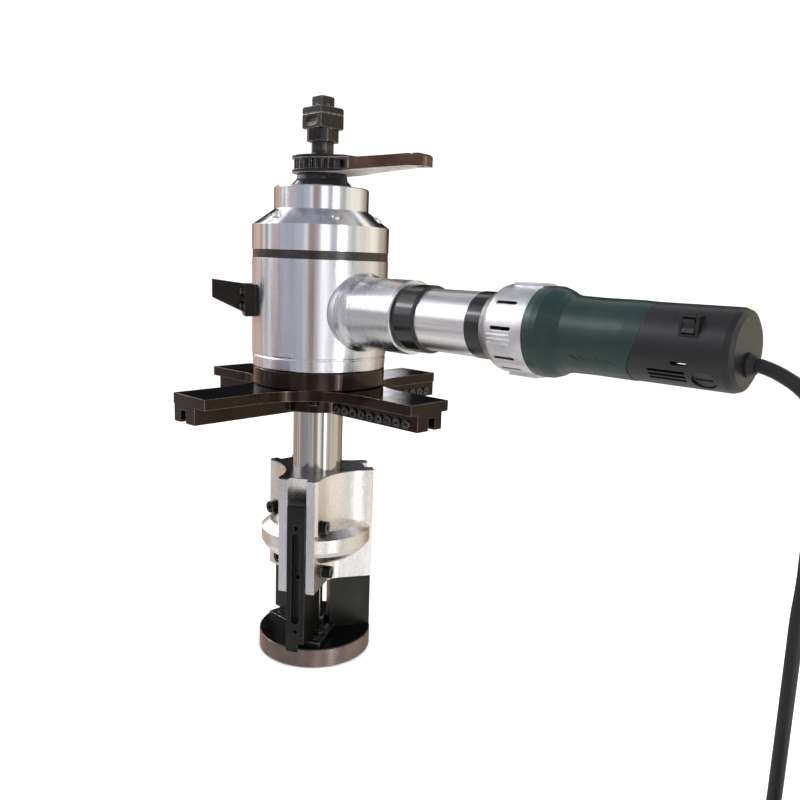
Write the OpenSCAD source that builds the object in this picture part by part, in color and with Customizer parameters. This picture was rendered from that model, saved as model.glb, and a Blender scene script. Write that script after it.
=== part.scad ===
// Inside-mounted pipe facing machine with an electric drive.
// The origin is the centre of the foot disc's underside, +Z runs up the mandrel, the motor points along +X.

/* [Foot and draw rod] */
// Radius of the foot disc
foot_r = 61.2; // [59:0.2:68]
// Thickness of the foot disc
foot_h = 20.8; // [18:0.2:26]
// Radius of the draw rod
rod_r = 8; // [7:0.25:9]
// Length of the rod above its square end's seat
rod_end_h = 10.4; // [8:0.2:16]
// Side of the square at the rod's top
rod_end_w = 16.5; // [14:0.5:20]
// How far the clamp nut draws the rod up
draw_travel = 24; // [12:1:26]

/* [Jaws] */
// Width of a jaw
jaw_w = 20; // [16:0.5:22]
// Distance from the axis to a jaw's gripping face
jaw_face_r = 60; // [59:0.25:61]
// Distance from the axis to a jaw's inner edge below the wedge
jaw_inner_r = 14.4; // [14:0.2:18]
// Height of a jaw's top above the floor
jaw_top_z = 176; // [160:1:178]
// Outward travel of a jaw for each millimetre of draw
ramp_slope = 0.3; // [0.2:0.02:0.32]
// Width of the long slot in a jaw's face
face_slot_w = 9; // [6:0.5:11]
// Radius of a jaw's tapped holes
jaw_hole_r = 2.5; // [2:0.25:3.5]
// Width of the tongue that slides in the foot disc
tongue_w = 13.5; // [11:0.5:15]

/* [Expander body] */
// Distance from the axis to an arm's flat end
arm_r = 58.5; // [56:0.5:60]
// Width of an arm
arm_w = 39.2; // [36:0.4:42]
// Gap between the foot disc and the expander body
expander_lift = 61.1; // [58:0.5:70]
// Height of the expander body
expander_h = 121.5; // [115:0.5:135]
// Radius of the round rim between the arms
rim_r = 59.5; // [56:0.5:62]
// Radius of the hollows above the rim
pocket_r = 62; // [55:1:75]
// Distance from the axis to the deepest line of those hollows
pocket_depth_r = 34.5; // [32:0.5:38]

/* [Mandrel] */
// Radius of the ground mandrel
mandrel_r = 26.5; // [24:0.5:28]
// Length of mandrel that shows between the expander body and the cutter head
shaft_show = 66.6; // [60:0.5:90]
// Radius of the mandrel's feed thread
thread_r = 18; // [15:0.5:19]
// Radius of the mandrel's top neck
neck_r = 11.2; // [10:0.2:12.4]
// Distance that the feed nut moves the head down the mandrel
feed_travel = 50; // [20:1:55]

/* [Cutter head] */
// Distance from the axis to the end of an arm
star_r = 157.8; // [140:1:180]
// Width of an arm of the plate
star_arm_w = 52; // [46:1:60]
// Radius of the hollow between two arms
star_fillet = 70; // [55:1:80]
// Thickness of the plate
plate_t = 10.3; // [8:0.2:14]
// Height of a tool bar
bar_h = 16.5; // [14:0.5:22]
// Width of a tool bar
bar_w = 34; // [30:1:36]
// Width of the tool slot
tool_slot_w = 9; // [6:0.5:10]
// Depth of the tool slot
tool_slot_h = 12; // [9:0.5:13]
// Distance between two set screws
set_pitch = 11.9; // [11:0.1:13]
// Distance that the hub disc's edge lies inside the housing's
hub_inset = 1; // [0:0.25:4]
// Thickness of the hub disc
hub_h = 18.2; // [12:0.2:24]
// Turn of the cutter head at rest
star_turn = 1.25; // [-5:0.25:5]

/* [Housing] */
// Radius of the main housing
house_r = 70; // [69:0.5:76]
// Height of the main housing
house_h = 109.3; // [105:0.5:125]
// Height of the dark band
band_h = 8.4; // [5:0.2:12]
// Height of the top cover's rim
cover_rim_h = 24.6; // [20:0.2:32]
// Height of the top cover's cone
cover_cone_h = 15.9; // [12:0.2:22]
// Height of the top cover's neck
cover_neck_h = 22.4; // [22:0.2:28]
// Radius of the top cover's neck
cover_neck_r = 48.2; // [42:0.5:54]
// Height of the cone collar over the feed nut
collar_h = 13.8; // [10:0.2:18]

/* [Ratchet and clamp nut] */
// Distance from the axis to the lever's end
lever_reach = 131; // [110:1:180]
// Direction that the lever points in at rest
lever_turn = 10; // [-30:1:30]
// Number of teeth on the ratchet wheel
ratchet_teeth = 28; // [20:1:36]
// Height of the lever's head
lever_h = 16.4; // [14:0.2:20]
// Width across the clamp nut's flats
nut_w = 29.7; // [26:0.5:34]
// Height of the clamp nut
nut_h = 20.6; // [16:0.2:26]
// Height of the thrust collar under the clamp nut
thrust_h = 12; // [9:0.5:16]

/* [Motor line] */
// Height of the motor's axis above the housing's underside
motor_rise = 59.2; // [56:0.5:64]
// Radius of the socket on the housing
socket_r = 34.6; // [33:0.2:37]
// Distance from the mandrel's axis to the socket's end
socket_x = 137; // [125:1:150]
// Length of the dark ring after the socket
ring_a_l = 24.5; // [18:0.5:30]
// Radius of the dark ring after the socket
ring_a_r = 31; // [29:0.5:33]
// Length of the gearbox tube
tube_l = 58.5; // [55:0.5:70]
// Radius of the gearbox tube
tube_r = 28.1; // [27.9:0.1:29.5]
// Length of the dark ring after the gearbox tube
ring_b_l = 15.5; // [14:0.5:20]
// Length of the cast vent ring
vent_l = 47.5; // [44:0.5:55]
// Radius of the vent ring and of the motor housing's front
motor_r = 36.1; // [35:0.5:39]
// Radius of the motor's grip
grip_r = 30; // [29.5:0.5:32]
// Length of the motor housing
motor_l = 94; // [90:0.5:105]
// Length of the motor's tail cover
tail_l = 65; // [63:0.5:75]

/* [Mains lead] */
// Diameter of the lead
cord_d = 9.6; // [8.4:0.2:10]
// Middle radius of the stored coil
coil_r = 55; // [52:1:60]
// Gap between two turns of the stored coil
coil_gap = 0.6; // [0.5:0.1:1.2]

/* [Hidden] */
$fn = 96;
seat = 0.3;
run = 0.05;
snug = 0.1;
big = 200;

// Heights of the stack, from the floor up
exp_z0 = foot_h + expander_lift;
exp_z1 = exp_z0 + expander_h;
tool_z0 = exp_z1 + shaft_show;
plate_z0 = tool_z0 + bar_h;
hub_z0 = plate_z0 + plate_t;
house_z0 = hub_z0 + hub_h + seat;
band_z0 = house_z0 + house_h;
cover_z0 = band_z0 + band_h;
cone_z0 = cover_z0 + cover_rim_h;
neck_z0 = cone_z0 + cover_cone_h;
collar_z0 = neck_z0 + cover_neck_h;
lever_z0 = collar_z0 + collar_h + seat;
lever_z1 = lever_z0 + lever_h;
thrust_z0 = lever_z1 + 15;
nut_z0 = thrust_z0 + thrust_h + seat;
rod_end_z0 = nut_z0 + nut_h + seat;
rod_top_z = rod_end_z0 + rod_end_h;
motor_z = house_z0 + motor_rise;

// Directions of the jaws and of the cutter head's arms
jaw_angles = [-60, 60, 180];
star_angles = [0, 90, 180, 270];

// Foot disc: the groove that a jaw's tongue slides in, the guide strip over its lip
groove_h = 4.1;
groove_z = foot_h - groove_h;
tongue_y = -jaw_w / 2 + tongue_w;
lip_w = 6;
shoulder_h = 5.2;
gib_h = 4.8;
gib_out = 24.4;
gib_in = 3;
gib_l = 48.7;
gib_screw_at = [[10, 15], [25, 15], [40.5, 15]];
gib_screw_r = 2.5;
foot_nut_af = 24;
foot_nut_h = 13;
rod_z0 = 4;

// Guide screws: distance from the axis and height, on one flank of each arm
guide_at = [[45.9, 152], [31.5, 98]];
guide_shank_r = 4;
guide_head_r = 6.5;
guide_head_h = 10;
guide_reach = 4.2;
slot_w = jaw_w + 2 * seat;

// Mandrel: spigot in the expander body, shoulder under the feed thread, keyway
spigot_r = 24;
spigot_z = exp_z1 - 53;
thread_z0 = collar_z0 - 71;
key_w = 8;
key_h = 7;
key_l = 22;
bush_l = 28;
bush_t = 7;
bush_z0 = motor_z + 11;
key_z0 = bush_z0 + 3;

// Spindle that carries the cutter head inside the housing
sleeve_r = 38;
sleeve_in_r = 30;
bearing_z0 = house_z0 + 3.6;
bearing_h = 16;
bearing_r = house_r - 18;
bearing_lip = 6;
gear_flange_r = sleeve_r + 10;
lower_bush_up = 6;
lower_bush_l = 42;
set_from = 49;
set_count = floor((star_r - set_from - 3) / set_pitch) + 1;
cavity_r = house_r - 8;
gear_pitch_r = cavity_r - 8;
hub_r = house_r - hub_inset;
pinion_pitch_r = 15;
gear_z1 = motor_z - pinion_pitch_r;
flange_z0 = bearing_z0 + bearing_h + 4;
flange_t = 4;
gear_z0 = flange_z0 + flange_t;

// Feed nut and ratchet
nut_hub_r = thread_r + 3.5;
nut_flange_r = nut_hub_r + 7.5;
nut_flange_h = 9.4;
nut_flange_z0 = collar_z0 - 18.1;
cheek_t = 2.8;
wheel_r = 28.6;
wheel_z0 = lever_z0 + cheek_t + seat;
wheel_h = lever_h - 2 * cheek_t - 2 * seat;
head_r = 30.5;
collar_r = 16;
collar_flat_r = 14;
collar_turn = 17;
handle_x = 49.5;

// Motor line, along +X from the mandrel's axis
ring_a_x = socket_x + 0;
tube_x = ring_a_x + ring_a_l;
ring_b_x = tube_x + tube_l;
vent_x = ring_b_x + ring_b_l;
motor_x = vent_x + vent_l;
tail_x = motor_x + motor_l;
motor_end_x = tail_x + tail_l;
shaft_r = 10;
socket_bore_r = 26;
planet_orbit = 15;
planet_r = 8.7;
sun_r = 5.7;
planet_x = tube_x + 24;
planet_l = 12;
arm_shaft_r = 4.5;
fan_x = vent_x + 22;
fan_r = 30;
fan_hub_r = 9;
fan_l = 11;
fan_disc_t = 2;
pinion_bearing_l = 13;
pinion_bearing_back = [51, 21.3];
core_x = motor_x + 24;
core_l = 46;
core_r = 17;
grip_in_r = grip_r - 2.4;
tail_r = grip_r - 1;
tail_in_r = tail_r - 2.6;
brush_x = motor_end_x - 20;
rear_bearing_x = motor_end_x - 15;
boot_drop = 8.7;
boot_x0 = motor_end_x - 8.4;
boot_l = 14.4;
lug_screw_y = 12.8;
commutator_l = 12.6;
switch_x = motor_end_x - 30.2;
switch_rise = 15.5;
switch_w = 13.6;
switch_l = 14;

// Route of the lead: out of the tail, down, and on to the floor beside the coil
cord_r = cord_d / 2;
lead_z = motor_z - boot_drop;
lead_points = [
    [448.1, 0, lead_z], [451, 0, lead_z], [460, 0, 363.2], [468, 0, 359.6], [475, 0, 355.6], [483, 0, 348.6],
    [489.6, 0, 337.5], [493, 0, 322], [494, 0, 300], [494, 0, 276], [493, 0, 252], [493, 0, 228], [492, 0, 204], [492, 0, 180],
    [492, 0, 156], [492, 0, 132], [492, 0, 108], [492, 0, 82], [492, 0, 58], [494, 0, 44],
    [499, 0, 32], [507, 0, 22], [517, 0, 14], [529, 0, 8.4], [541, 0, 6.2], [550.2, 0, 6.2]
];

// Stored coil: ten turns in four layers, wound in, out, in and out again
coil_x = 560;
coil_lift = 1.4;
coil_pitch = cord_d + coil_gap;
coil_turns = 9.25;
layer_turns = 2.5;
coil_steps = 24;
coil_out_r = coil_r + layer_turns * coil_pitch / 2;
coil_at = [coil_x, -coil_out_r];

// Shared shapes
module tube(outer, inner, h) {
    difference() {
        cylinder(r = outer, h = h);
        translate([0, 0, -1]) cylinder(r = inner, h = h + 2);
    }
}

module at_motor(x) {
    translate([x, 0, motor_z]) rotate([0, 90, 0]) children();
}

module cap_screw(head_r, head_h, shank_r, shank_l) {
    difference() {
        union() {
            cylinder(r = head_r, h = head_h);
            translate([0, 0, -shank_l]) cylinder(r = shank_r, h = shank_l);
        }
        translate([0, 0, head_h * 0.45]) cylinder(r = head_r * 0.52, h = head_h, $fn = 6);
    }
}

// A slot with round ends, lying along X and cut along Z
module round_slot(l, w, h) {
    translate([0, -w / 2, 0]) cube([l, w, h]);
    cylinder(d = w, h = h);
    translate([l, 0, 0]) cylinder(d = w, h = h);
}

// A point on a jaw's flank moves along this line as the rod is drawn
function ramp_r(z) = jaw_inner_r + ramp_slope * max(0, z - exp_z0);

// Foot disc with a groove for each jaw, a blind hole for the rod and tapped holes for the strips
module foot_disc() {
    color("#3a2c27")
    difference() {
        rotate_extrude() polygon([
            [0, 0], [foot_r - 1.5, 0], [foot_r, 1.5], [foot_r, foot_h - 1], [foot_r - 1, foot_h], [0, foot_h]
        ]);
        for (a = jaw_angles) rotate(a) {
            translate([12, -jaw_w / 2 - seat, groove_z])
                cube([foot_r - 15, tongue_w + lip_w + 2 * seat, groove_h + 1]);
            translate([12, -jaw_w / 2 - seat, groove_z]) cube([foot_r, tongue_w + 2 * seat, groove_h + 1]);
            for (p = gib_screw_at)
                translate([p[0], p[1], foot_h - 10]) cylinder(r = gib_screw_r + snug, h = 11);
        }
        translate([0, 0, rod_z0]) cylinder(r = rod_r + snug, h = foot_h);
    }
}

// Strip that holds down one jaw's lip
module jaw_guide_strips() {
    color("#1c1b1a")
    for (a = jaw_angles) rotate(a)
    difference() {
        translate([gib_in, tongue_y + seat + 0.1, foot_h]) cube([gib_l, gib_out - tongue_y - seat, gib_h]);
        translate([0, 0, foot_h - 1]) cylinder(r = foot_nut_af * 0.64, h = gib_h + 2);
        for (p = gib_screw_at) translate([p[0], p[1], foot_h - 1]) {
            cylinder(r = gib_screw_r + snug, h = gib_h + 2);
            translate([0, 0, 2]) cylinder(r = gib_screw_r + 2, h = gib_h);
        }
    }
}

module guide_strip_screws() {
    color("#111111")
    for (a = jaw_angles) rotate(a)
    for (p = gib_screw_at)
        translate([p[0], p[1], foot_h + 1]) cap_screw(gib_screw_r + 1.7, 4.2, gib_screw_r, 9);
}

// Draw rod, screwed into the foot disc and locked there by a nut
module draw_rod() {
    color("#8a8c8e")
    union() {
        translate([0, 0, rod_z0]) cylinder(r = rod_r, h = rod_end_z0 + 3 - rod_z0);
        translate([0, 0, rod_z0]) cylinder(r = rod_r * 0.62, h = rod_top_z - 2 - rod_z0);
    }
}

module foot_nut() {
    color("#26221f")
    translate([0, 0, foot_h])
    difference() {
        cylinder(d = foot_nut_af / cos(30), h = foot_nut_h, $fn = 6);
        translate([0, 0, -1]) cylinder(r = rod_r + run, h = foot_nut_h + 2);
        translate([0, 0, foot_nut_h - 1.5]) tube(foot_nut_af, foot_nut_af / 2 + 0.4, 3);
    }
}

// Square that is pinned to the rod's end so that the rod can be held still
module rod_square_end() {
    color("#2b2a29")
    translate([0, 0, rod_end_z0])
    difference() {
        intersection() {
            translate([-rod_end_w / 2, -rod_end_w / 2, 0]) cube([rod_end_w, rod_end_w, rod_end_h]);
            rotate_extrude() polygon([
                [0, 0], [rod_end_w * 0.68, 0], [rod_end_w * 0.68, rod_end_h - 1.2],
                [rod_end_w * 0.6, rod_end_h], [0, rod_end_h]
            ]);
        }
        translate([0, 0, -1]) cylinder(r = rod_r + snug, h = 4 + snug);
        translate([0, 0, 2]) cylinder(r = rod_r * 0.62 + snug, h = rod_end_h);
    }
}

// One jaw: wedge bar, tongue and lip in the foot disc, slotted face, guide grooves in its flanks
module jaw_groove(p) {
    turn = atan(1 / ramp_slope);
    run_l = draw_travel * sqrt(1 + ramp_slope * ramp_slope);
    translate([p[0], 0, p[1]]) rotate([90, 0, 0]) rotate(180 + turn) translate([0, 0, -guide_reach - seat])
        round_slot(run_l, 2 * guide_shank_r + 2 * seat, guide_reach + seat + 1);
}

module jaw(a) {
    color("#34332f")
    rotate(a)
    difference() {
        union() {
            rotate([90, 0, 0]) translate([0, 0, -jaw_w / 2]) linear_extrude(jaw_w) polygon([
                [jaw_inner_r, foot_h + shoulder_h], [jaw_face_r, foot_h + shoulder_h],
                [jaw_face_r, jaw_top_z - 1.5], [jaw_face_r - 1.5, jaw_top_z],
                [ramp_r(jaw_top_z), jaw_top_z], [jaw_inner_r, exp_z0]
            ]);
            translate([jaw_inner_r, -jaw_w / 2, groove_z + seat])
                cube([jaw_face_r - jaw_inner_r, tongue_w, foot_h + shoulder_h - groove_z]);
            translate([jaw_inner_r, -jaw_w / 2, groove_z + seat])
                cube([35.6, tongue_w + lip_w, groove_h - 2 * seat]);
        }
        translate([jaw_face_r - 7, 0, 51.5]) rotate([0, 90, 0]) rotate(180) round_slot(91, face_slot_w, 8);
        for (z = [38.7, 97, 152])
            translate([jaw_face_r - 20, 0, z]) rotate([0, 90, 0]) cylinder(r = jaw_hole_r, h = 21);
        for (p = guide_at) translate([0, jaw_w / 2, 0]) mirror([0, 1, 0]) jaw_groove(p);
    }
}

module jaw_front() { jaw(jaw_angles[0]); }
module jaw_right() { jaw(jaw_angles[1]); }
module jaw_back() { jaw(jaw_angles[2]); }

// Plan of the expander body above its rim: three flat ends joined by wide hollows
module upper_plan() {
    h = arm_w / 2;
    difference() {
        polygon([for (a = jaw_angles, s = [-1, 1]) [
            arm_r * cos(a) - s * h * sin(a), arm_r * sin(a) + s * h * cos(a)
        ]]);
        for (a = jaw_angles) rotate(a + 60) translate([pocket_depth_r + pocket_r, 0]) circle(r = pocket_r);
    }
}

// Plan below the rim: three straight arms with a fillet in each corner
module lower_plan() {
    h = arm_w / 2;
    f = 18;
    c = (h + f) / sin(60);
    for (a = jaw_angles) rotate(a) {
        translate([0, -h]) square([arm_r, arm_w]);
        rotate(60) difference() {
            polygon([[0, 0], [c - f * sin(60), -f * cos(60)], [c, 0], [c - f * sin(60), f * cos(60)]]);
            translate([c, 0]) circle(r = f);
        }
    }
}

module expander_body() {
    rim_z0 = exp_z0 + 41;
    rim_z1 = exp_z0 + 57.5;
    color("#b9b4aa")
    difference() {
        union() {
            translate([0, 0, exp_z0]) linear_extrude(expander_h) lower_plan();
            translate([0, 0, rim_z1 + 5]) linear_extrude(exp_z1 - rim_z1 - 5) upper_plan();
            rotate_extrude() polygon([
                [0, rim_z0 - 15], [30, rim_z0 - 15], [43, rim_z0 - 13.5], [50, rim_z0 - 9],
                [56.5, rim_z0 - 2.5], [rim_r, rim_z0 + 3], [rim_r, rim_z1], [50, rim_z1 + 7],
                [42, rim_z1 + 9], [0, rim_z1 + 9]
            ]);
        }
        for (a = jaw_angles) rotate(a) {
            rotate([90, 0, 0]) translate([0, 0, -slot_w / 2]) linear_extrude(slot_w) polygon([
                [jaw_inner_r - seat, exp_z0 - 1], [big, exp_z0 - 1], [big, exp_z1 + 1],
                [ramp_r(exp_z1 + 1) - seat, exp_z1 + 1], [jaw_inner_r - seat, exp_z0]
            ]);
            for (p = guide_at) translate([p[0], jaw_w / 2, p[1]]) rotate([-90, 0, 0])
                cylinder(r = guide_shank_r + snug, h = 12);
            for (p = guide_at) translate([p[0], arm_w / 2, p[1]]) rotate([-90, 0, 0])
                cylinder(r = guide_head_r + snug + 0.4, h = 40);
        }
        translate([0, 0, exp_z0 - 1]) cylinder(r = rod_r + seat, h = expander_h + 2);
        translate([0, 0, spigot_z - seat]) cylinder(r = spigot_r + run, h = big);
    }
}

// Screws whose shanks run in the jaws' grooves and hold the jaws in their slots
module jaw_guide_screws() {
    color("#141414")
    for (a = jaw_angles) rotate(a) {
        for (p = guide_at) translate([p[0], arm_w / 2, p[1]]) rotate([-90, 0, 0])
            cap_screw(guide_head_r, guide_head_h, guide_shank_r, (arm_w - jaw_w) / 2 + guide_reach);
    }
}

// Hollow mandrel: spigot, ground stem with a keyway, feed thread, top neck with four flats
module mandrel() {
    color("#a7a9ab")
    difference() {
        rotate_extrude() polygon([
            [rod_r + seat, spigot_z], [spigot_r, spigot_z], [spigot_r, exp_z1], [mandrel_r, exp_z1],
            [mandrel_r, thread_z0 - 1], [mandrel_r - 1, thread_z0], [thread_r, thread_z0],
            [thread_r, lever_z1 + 1], [neck_r, lever_z1 + 3], [neck_r, nut_z0 - 2 * seat],
            [rod_r + seat, nut_z0 - 2 * seat]
        ]);
        translate([-key_w / 2 - snug, mandrel_r - 4, key_z0 - feed_travel - 2])
            cube([key_w + 2 * snug, 10, thread_z0 - key_z0 + feed_travel + 4]);
        for (k = [0:3]) rotate(collar_turn + 90 * k) translate([neck_r - 1, -20, lever_z1 + 4])
            cube([20, 40, thrust_z0 - lever_z1 - 4]);
    }
}

// Round collar with four flats, fixed to the mandrel's neck, that takes the clamp nut's thrust
module thrust_collar() {
    color("#2e2824")
    rotate(collar_turn)
    translate([0, 0, thrust_z0])
    difference() {
        intersection() {
            translate([-collar_flat_r, -collar_flat_r, 0]) cube([2 * collar_flat_r, 2 * collar_flat_r, thrust_h]);
            cylinder(r = collar_r, h = thrust_h);
        }
        translate([0, 0, -1]) cylinder(r = neck_r + run, h = thrust_h + 2);
    }
}

// Square clamp nut with a groove round it and one hollowed face
module clamp_nut() {
    color("#2f2f2f")
    translate([0, 0, nut_z0])
    difference() {
        intersection() {
            translate([-nut_w / 2, -nut_w / 2, 0]) cube([nut_w, nut_w, nut_h]);
            rotate_extrude() polygon([
                [0, 0], [nut_w * 0.67, 0], [nut_w * 0.7, 1.2], [nut_w * 0.7, nut_h - 1.6],
                [nut_w * 0.65, nut_h], [0, nut_h]
            ]);
        }
        translate([0, 0, -1]) cylinder(r = rod_r + run, h = nut_h + 2);
        translate([0, 0, nut_h * 0.66]) difference() {
            translate([-big / 2, -big / 2, 0]) cube([big, big, 0.8]);
            translate([-nut_w / 2 + 0.6, -nut_w / 2 + 0.6, -1]) cube([nut_w - 1.2, nut_w - 1.2, 3]);
        }
        for (s = [0, 180]) rotate(s) translate([0, -nut_w / 2 - 30.5, 0]) rotate_extrude() polygon([
            [0, 1.4], [29.6, 1.4], [31.4, 3.4], [32, 6], [32, 9], [31.6, 11.2], [30.6, 12.8], [0, 12.8]
        ]);
    }
}

// Four-armed cutter plate: plate, and under each arm a bar with an open tool slot
module star_plan() {
    h = star_arm_w / 2;
    f = star_fillet;
    difference() {
        union() {
            for (a = star_angles) rotate(a) translate([0, -h]) square([star_r, star_arm_w]);
            for (a = star_angles) rotate(a) difference() {
                square([h + f, h + f]);
                translate([h + f, h + f]) circle(r = f);
            }
        }
    }
}

function bar_shift(i) = i % 2 == 0 ? 0.3 : -7.7;
function slot_shift(i) = i % 2 == 0 ? 3 : -9.7;

module cutter_plate() {
    bar_in = 47;
    color("#2b2320")
    rotate(star_turn)
    difference() {
        union() {
            translate([0, 0, plate_z0]) linear_extrude(plate_t) star_plan();
            translate([0, 0, tool_z0 + 1.5]) cylinder(r = 47, h = bar_h);
            for (i = [0:3]) rotate(star_angles[i])
                translate([bar_in - 8, bar_shift(i) - bar_w / 2, tool_z0])
                    cube([star_r - bar_in + 8, bar_w, bar_h + 1]);
        }
        translate([0, 0, tool_z0 - 1]) cylinder(r = sleeve_r + snug, h = big);
        for (i = [0:3]) rotate(star_angles[i]) {
            translate([bar_in + 2, slot_shift(i) - tool_slot_w / 2, tool_z0 - 1])
                cube([star_r, tool_slot_w, tool_slot_h + 1]);
            for (k = [0:set_count - 1])
                translate([set_from + k * set_pitch, slot_shift(i) - tool_slot_w / 2, tool_z0 + 6.2])
                    rotate([90, 0, 0]) cylinder(r = 3.1 + snug, h = 40);
        }
        for (a = star_angles) rotate(a + 45)
            translate([57, 0, plate_z0 - 1]) cylinder(r = 3.4, h = plate_t + 2);
    }
}

// Set screws that clamp a tool in its slot, and the screws that hold the plate to the hub disc
module cutter_head_screws() {
    color("#3b3734")
    rotate(star_turn) {
        for (i = [0:3], k = [0:set_count - 1]) rotate(star_angles[i]) set_screw(i, k);
        for (a = star_angles) rotate(a + 45)
            translate([57, 0, plate_z0]) mirror([0, 0, 1]) cap_screw(5, 5, 2.7, plate_t + 12);
    }
}

module set_screw(i, k) {
        translate([set_from + k * set_pitch, bar_shift(i) - bar_w / 2 - 2.2, tool_z0 + 6.2])
        rotate([90, 0, 0])
        difference() {
            union() {
                translate([0, 0, -2.2]) cylinder(r1 = 5, r2 = 4.3, h = 2.2);
                translate([0, 0, -12]) cylinder(r = 3.1, h = 10);
            }
            translate([0, 0, -2]) cylinder(r = 2.3, h = 3, $fn = 6);
        }
}

// Round disc between the cutter plate and the housing, with its screws' counterbores
module hub_disc() {
    color("#2a211e")
    translate([0, 0, hub_z0])
    difference() {
        rotate_extrude() polygon([
            [sleeve_r + snug, 0], [hub_r - 1, 0], [hub_r, 1], [hub_r, hub_h - 1], [hub_r - 1, hub_h],
            [sleeve_r + snug, hub_h]
        ]);
        for (a = star_angles) rotate(a + 45 + star_turn)
            translate([57, 0, -1]) cylinder(r = 2.8, h = 14);
    }
}

// Hollow spindle round the mandrel, with the flange that carries the ring gear
module spindle_sleeve() {
    color("#8f9193")
    rotate_extrude() polygon([
        [sleeve_in_r, tool_z0 + 1.5], [sleeve_r, tool_z0 + 1.5], [sleeve_r, flange_z0],
        [gear_flange_r, flange_z0], [gear_flange_r, gear_z0], [sleeve_r, gear_z0],
        [sleeve_r, gear_z1 - 3], [sleeve_in_r, gear_z1 - 3]
    ]);
}

module lower_guide_bush() {
    color("#b08d57")
    translate([0, 0, tool_z0 + lower_bush_up]) tube(sleeve_in_r - snug, mandrel_r + run, lower_bush_l);
}

// Bevel ring gear, its teeth facing up to the pinion
module bevel_ring_gear() {
    face = 9;
    k = pinion_pitch_r / gear_pitch_r;
    color("#77797b")
    rotate_extrude() polygon([
        [sleeve_r + snug, gear_z0], [gear_pitch_r - 3, gear_z0], [gear_pitch_r + 2, gear_z0 + 5],
        [gear_pitch_r + 2, gear_z1 - seat - 0.4], [gear_pitch_r - face, gear_z1 + face * k - seat - 0.4],
        [gear_pitch_r - face - 1, gear_z0 + 4], [sleeve_r + snug, gear_z0 + 4]
    ]);
}

// Bevel pinion on the end of its shaft
module bevel_pinion() {
    face = 9;
    k = pinion_pitch_r / gear_pitch_r;
    color("#6f7173")
    at_motor(0)
    difference() {
        rotate_extrude() polygon([
            [0, gear_pitch_r - face], [pinion_pitch_r - face * k - seat, gear_pitch_r - face],
            [pinion_pitch_r + 2 * k - seat, gear_pitch_r + 2], [pinion_pitch_r - 3, gear_pitch_r + 5],
            [0, gear_pitch_r + 5]
        ]);
        translate([0, 0, gear_pitch_r - 2]) cylinder(r = 6 + snug, h = 20);
    }
}

// Shaft between the planet carrier and the bevel pinion
module pinion_shaft() {
    color("#8a8c8e")
    at_motor(0)
    difference() {
        union() {
            translate([0, 0, gear_pitch_r - 1.7]) cylinder(r = 6, h = 20);
            translate([0, 0, gear_pitch_r + 5]) cylinder(r = shaft_r, h = tube_x + 12 - gear_pitch_r - 5);
            translate([0, 0, tube_x + 12]) cylinder(r = planet_orbit + 5.5, h = 8);
            for (k = [0:2]) rotate(90 + 120 * k) translate([planet_orbit, 0, tube_x + 12])
                cylinder(r = 2.5, h = planet_x + planet_l - tube_x - 12);
        }
        translate([0, 0, tube_x + 16]) cylinder(r = arm_shaft_r + 1, h = 10);
    }
}

module pinion_bearings() {
    color("#9a9c9e")
    for (back = pinion_bearing_back) at_motor(socket_x - back)
        tube(socket_bore_r - snug, shaft_r + run, pinion_bearing_l);
}

// Planet gears turn on the carrier's pins, inside the ring gear and round the rotor's pinion
module planet_gear(k) {
    color("#85878a")
    at_motor(planet_x) rotate(90 + 120 * k) translate([planet_orbit, 0, 0])
        tube(planet_r, 2.5 + run, planet_l - 1);
}

module planet_gear_1() { planet_gear(0); }
module planet_gear_2() { planet_gear(1); }
module planet_gear_3() { planet_gear(2); }

module planet_ring_gear() {
    color("#77797b")
    at_motor(planet_x - 3) tube(socket_bore_r - snug, planet_orbit + planet_r + 0.6, planet_l + 6);
}

// Main housing: bored cylinder with the motor's socket on its side
module main_housing() {
    wall_z1 = bearing_z0 + bearing_h;
    color("#b7b8b9")
    difference() {
        union() {
            rotate_extrude() polygon([
                [0, house_z0], [house_r - 1.6, house_z0], [house_r - 1, house_z0 + 0.8],
                [house_r - 0.4, house_z0 + 11], [house_r - 1.1, house_z0 + 12.2],
                [house_r - 1.1, house_z0 + 13.2], [house_r, house_z0 + 14], [house_r, band_z0], [0, band_z0]
            ]);
            at_motor(0) rotate_extrude() polygon([
                [0, house_r - 30], [socket_r + 5, house_r - 30], [socket_r + 5, house_r - 3], [socket_r + 3.6, house_r + 2],
                [socket_r + 1.2, house_r + 5], [socket_r, house_r + 9], [socket_r, socket_x - 1],
                [socket_r - 1, socket_x], [0, socket_x]
            ]);
        }
        rotate_extrude() polygon([
            [0, house_z0 - 1], [bearing_r - bearing_lip, house_z0 - 1], [bearing_r - bearing_lip, bearing_z0],
            [bearing_r, bearing_z0],
            [bearing_r, wall_z1 + seat], [cavity_r, wall_z1 + 8], [cavity_r, band_z0 + 1], [0, band_z0 + 1]
        ]);
        at_motor(0) translate([0, 0, house_r - 14]) cylinder(r = pinion_pitch_r + 4, h = 40);
        at_motor(socket_x - 54) cylinder(r = socket_bore_r, h = 60);
    }
}

module spindle_bearing() {
    color("#9fa1a3")
    translate([0, 0, bearing_z0])
    difference() {
        tube(bearing_r - snug, sleeve_r + run, bearing_h);
        for (z = [-0.5, bearing_h - 1]) translate([0, 0, z]) tube(bearing_r - 4, sleeve_r + 4, 1.5);
    }
}

// Dark band: the joint ring between the housing and the top cover
module housing_band() {
    color("#1a1a1c")
    rotate_extrude() polygon([
        [cavity_r - 6, band_z0], [house_r - 0.5, band_z0], [house_r - 0.5, cover_z0],
        [cavity_r - 6, cover_z0]
    ]);
}

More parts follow.
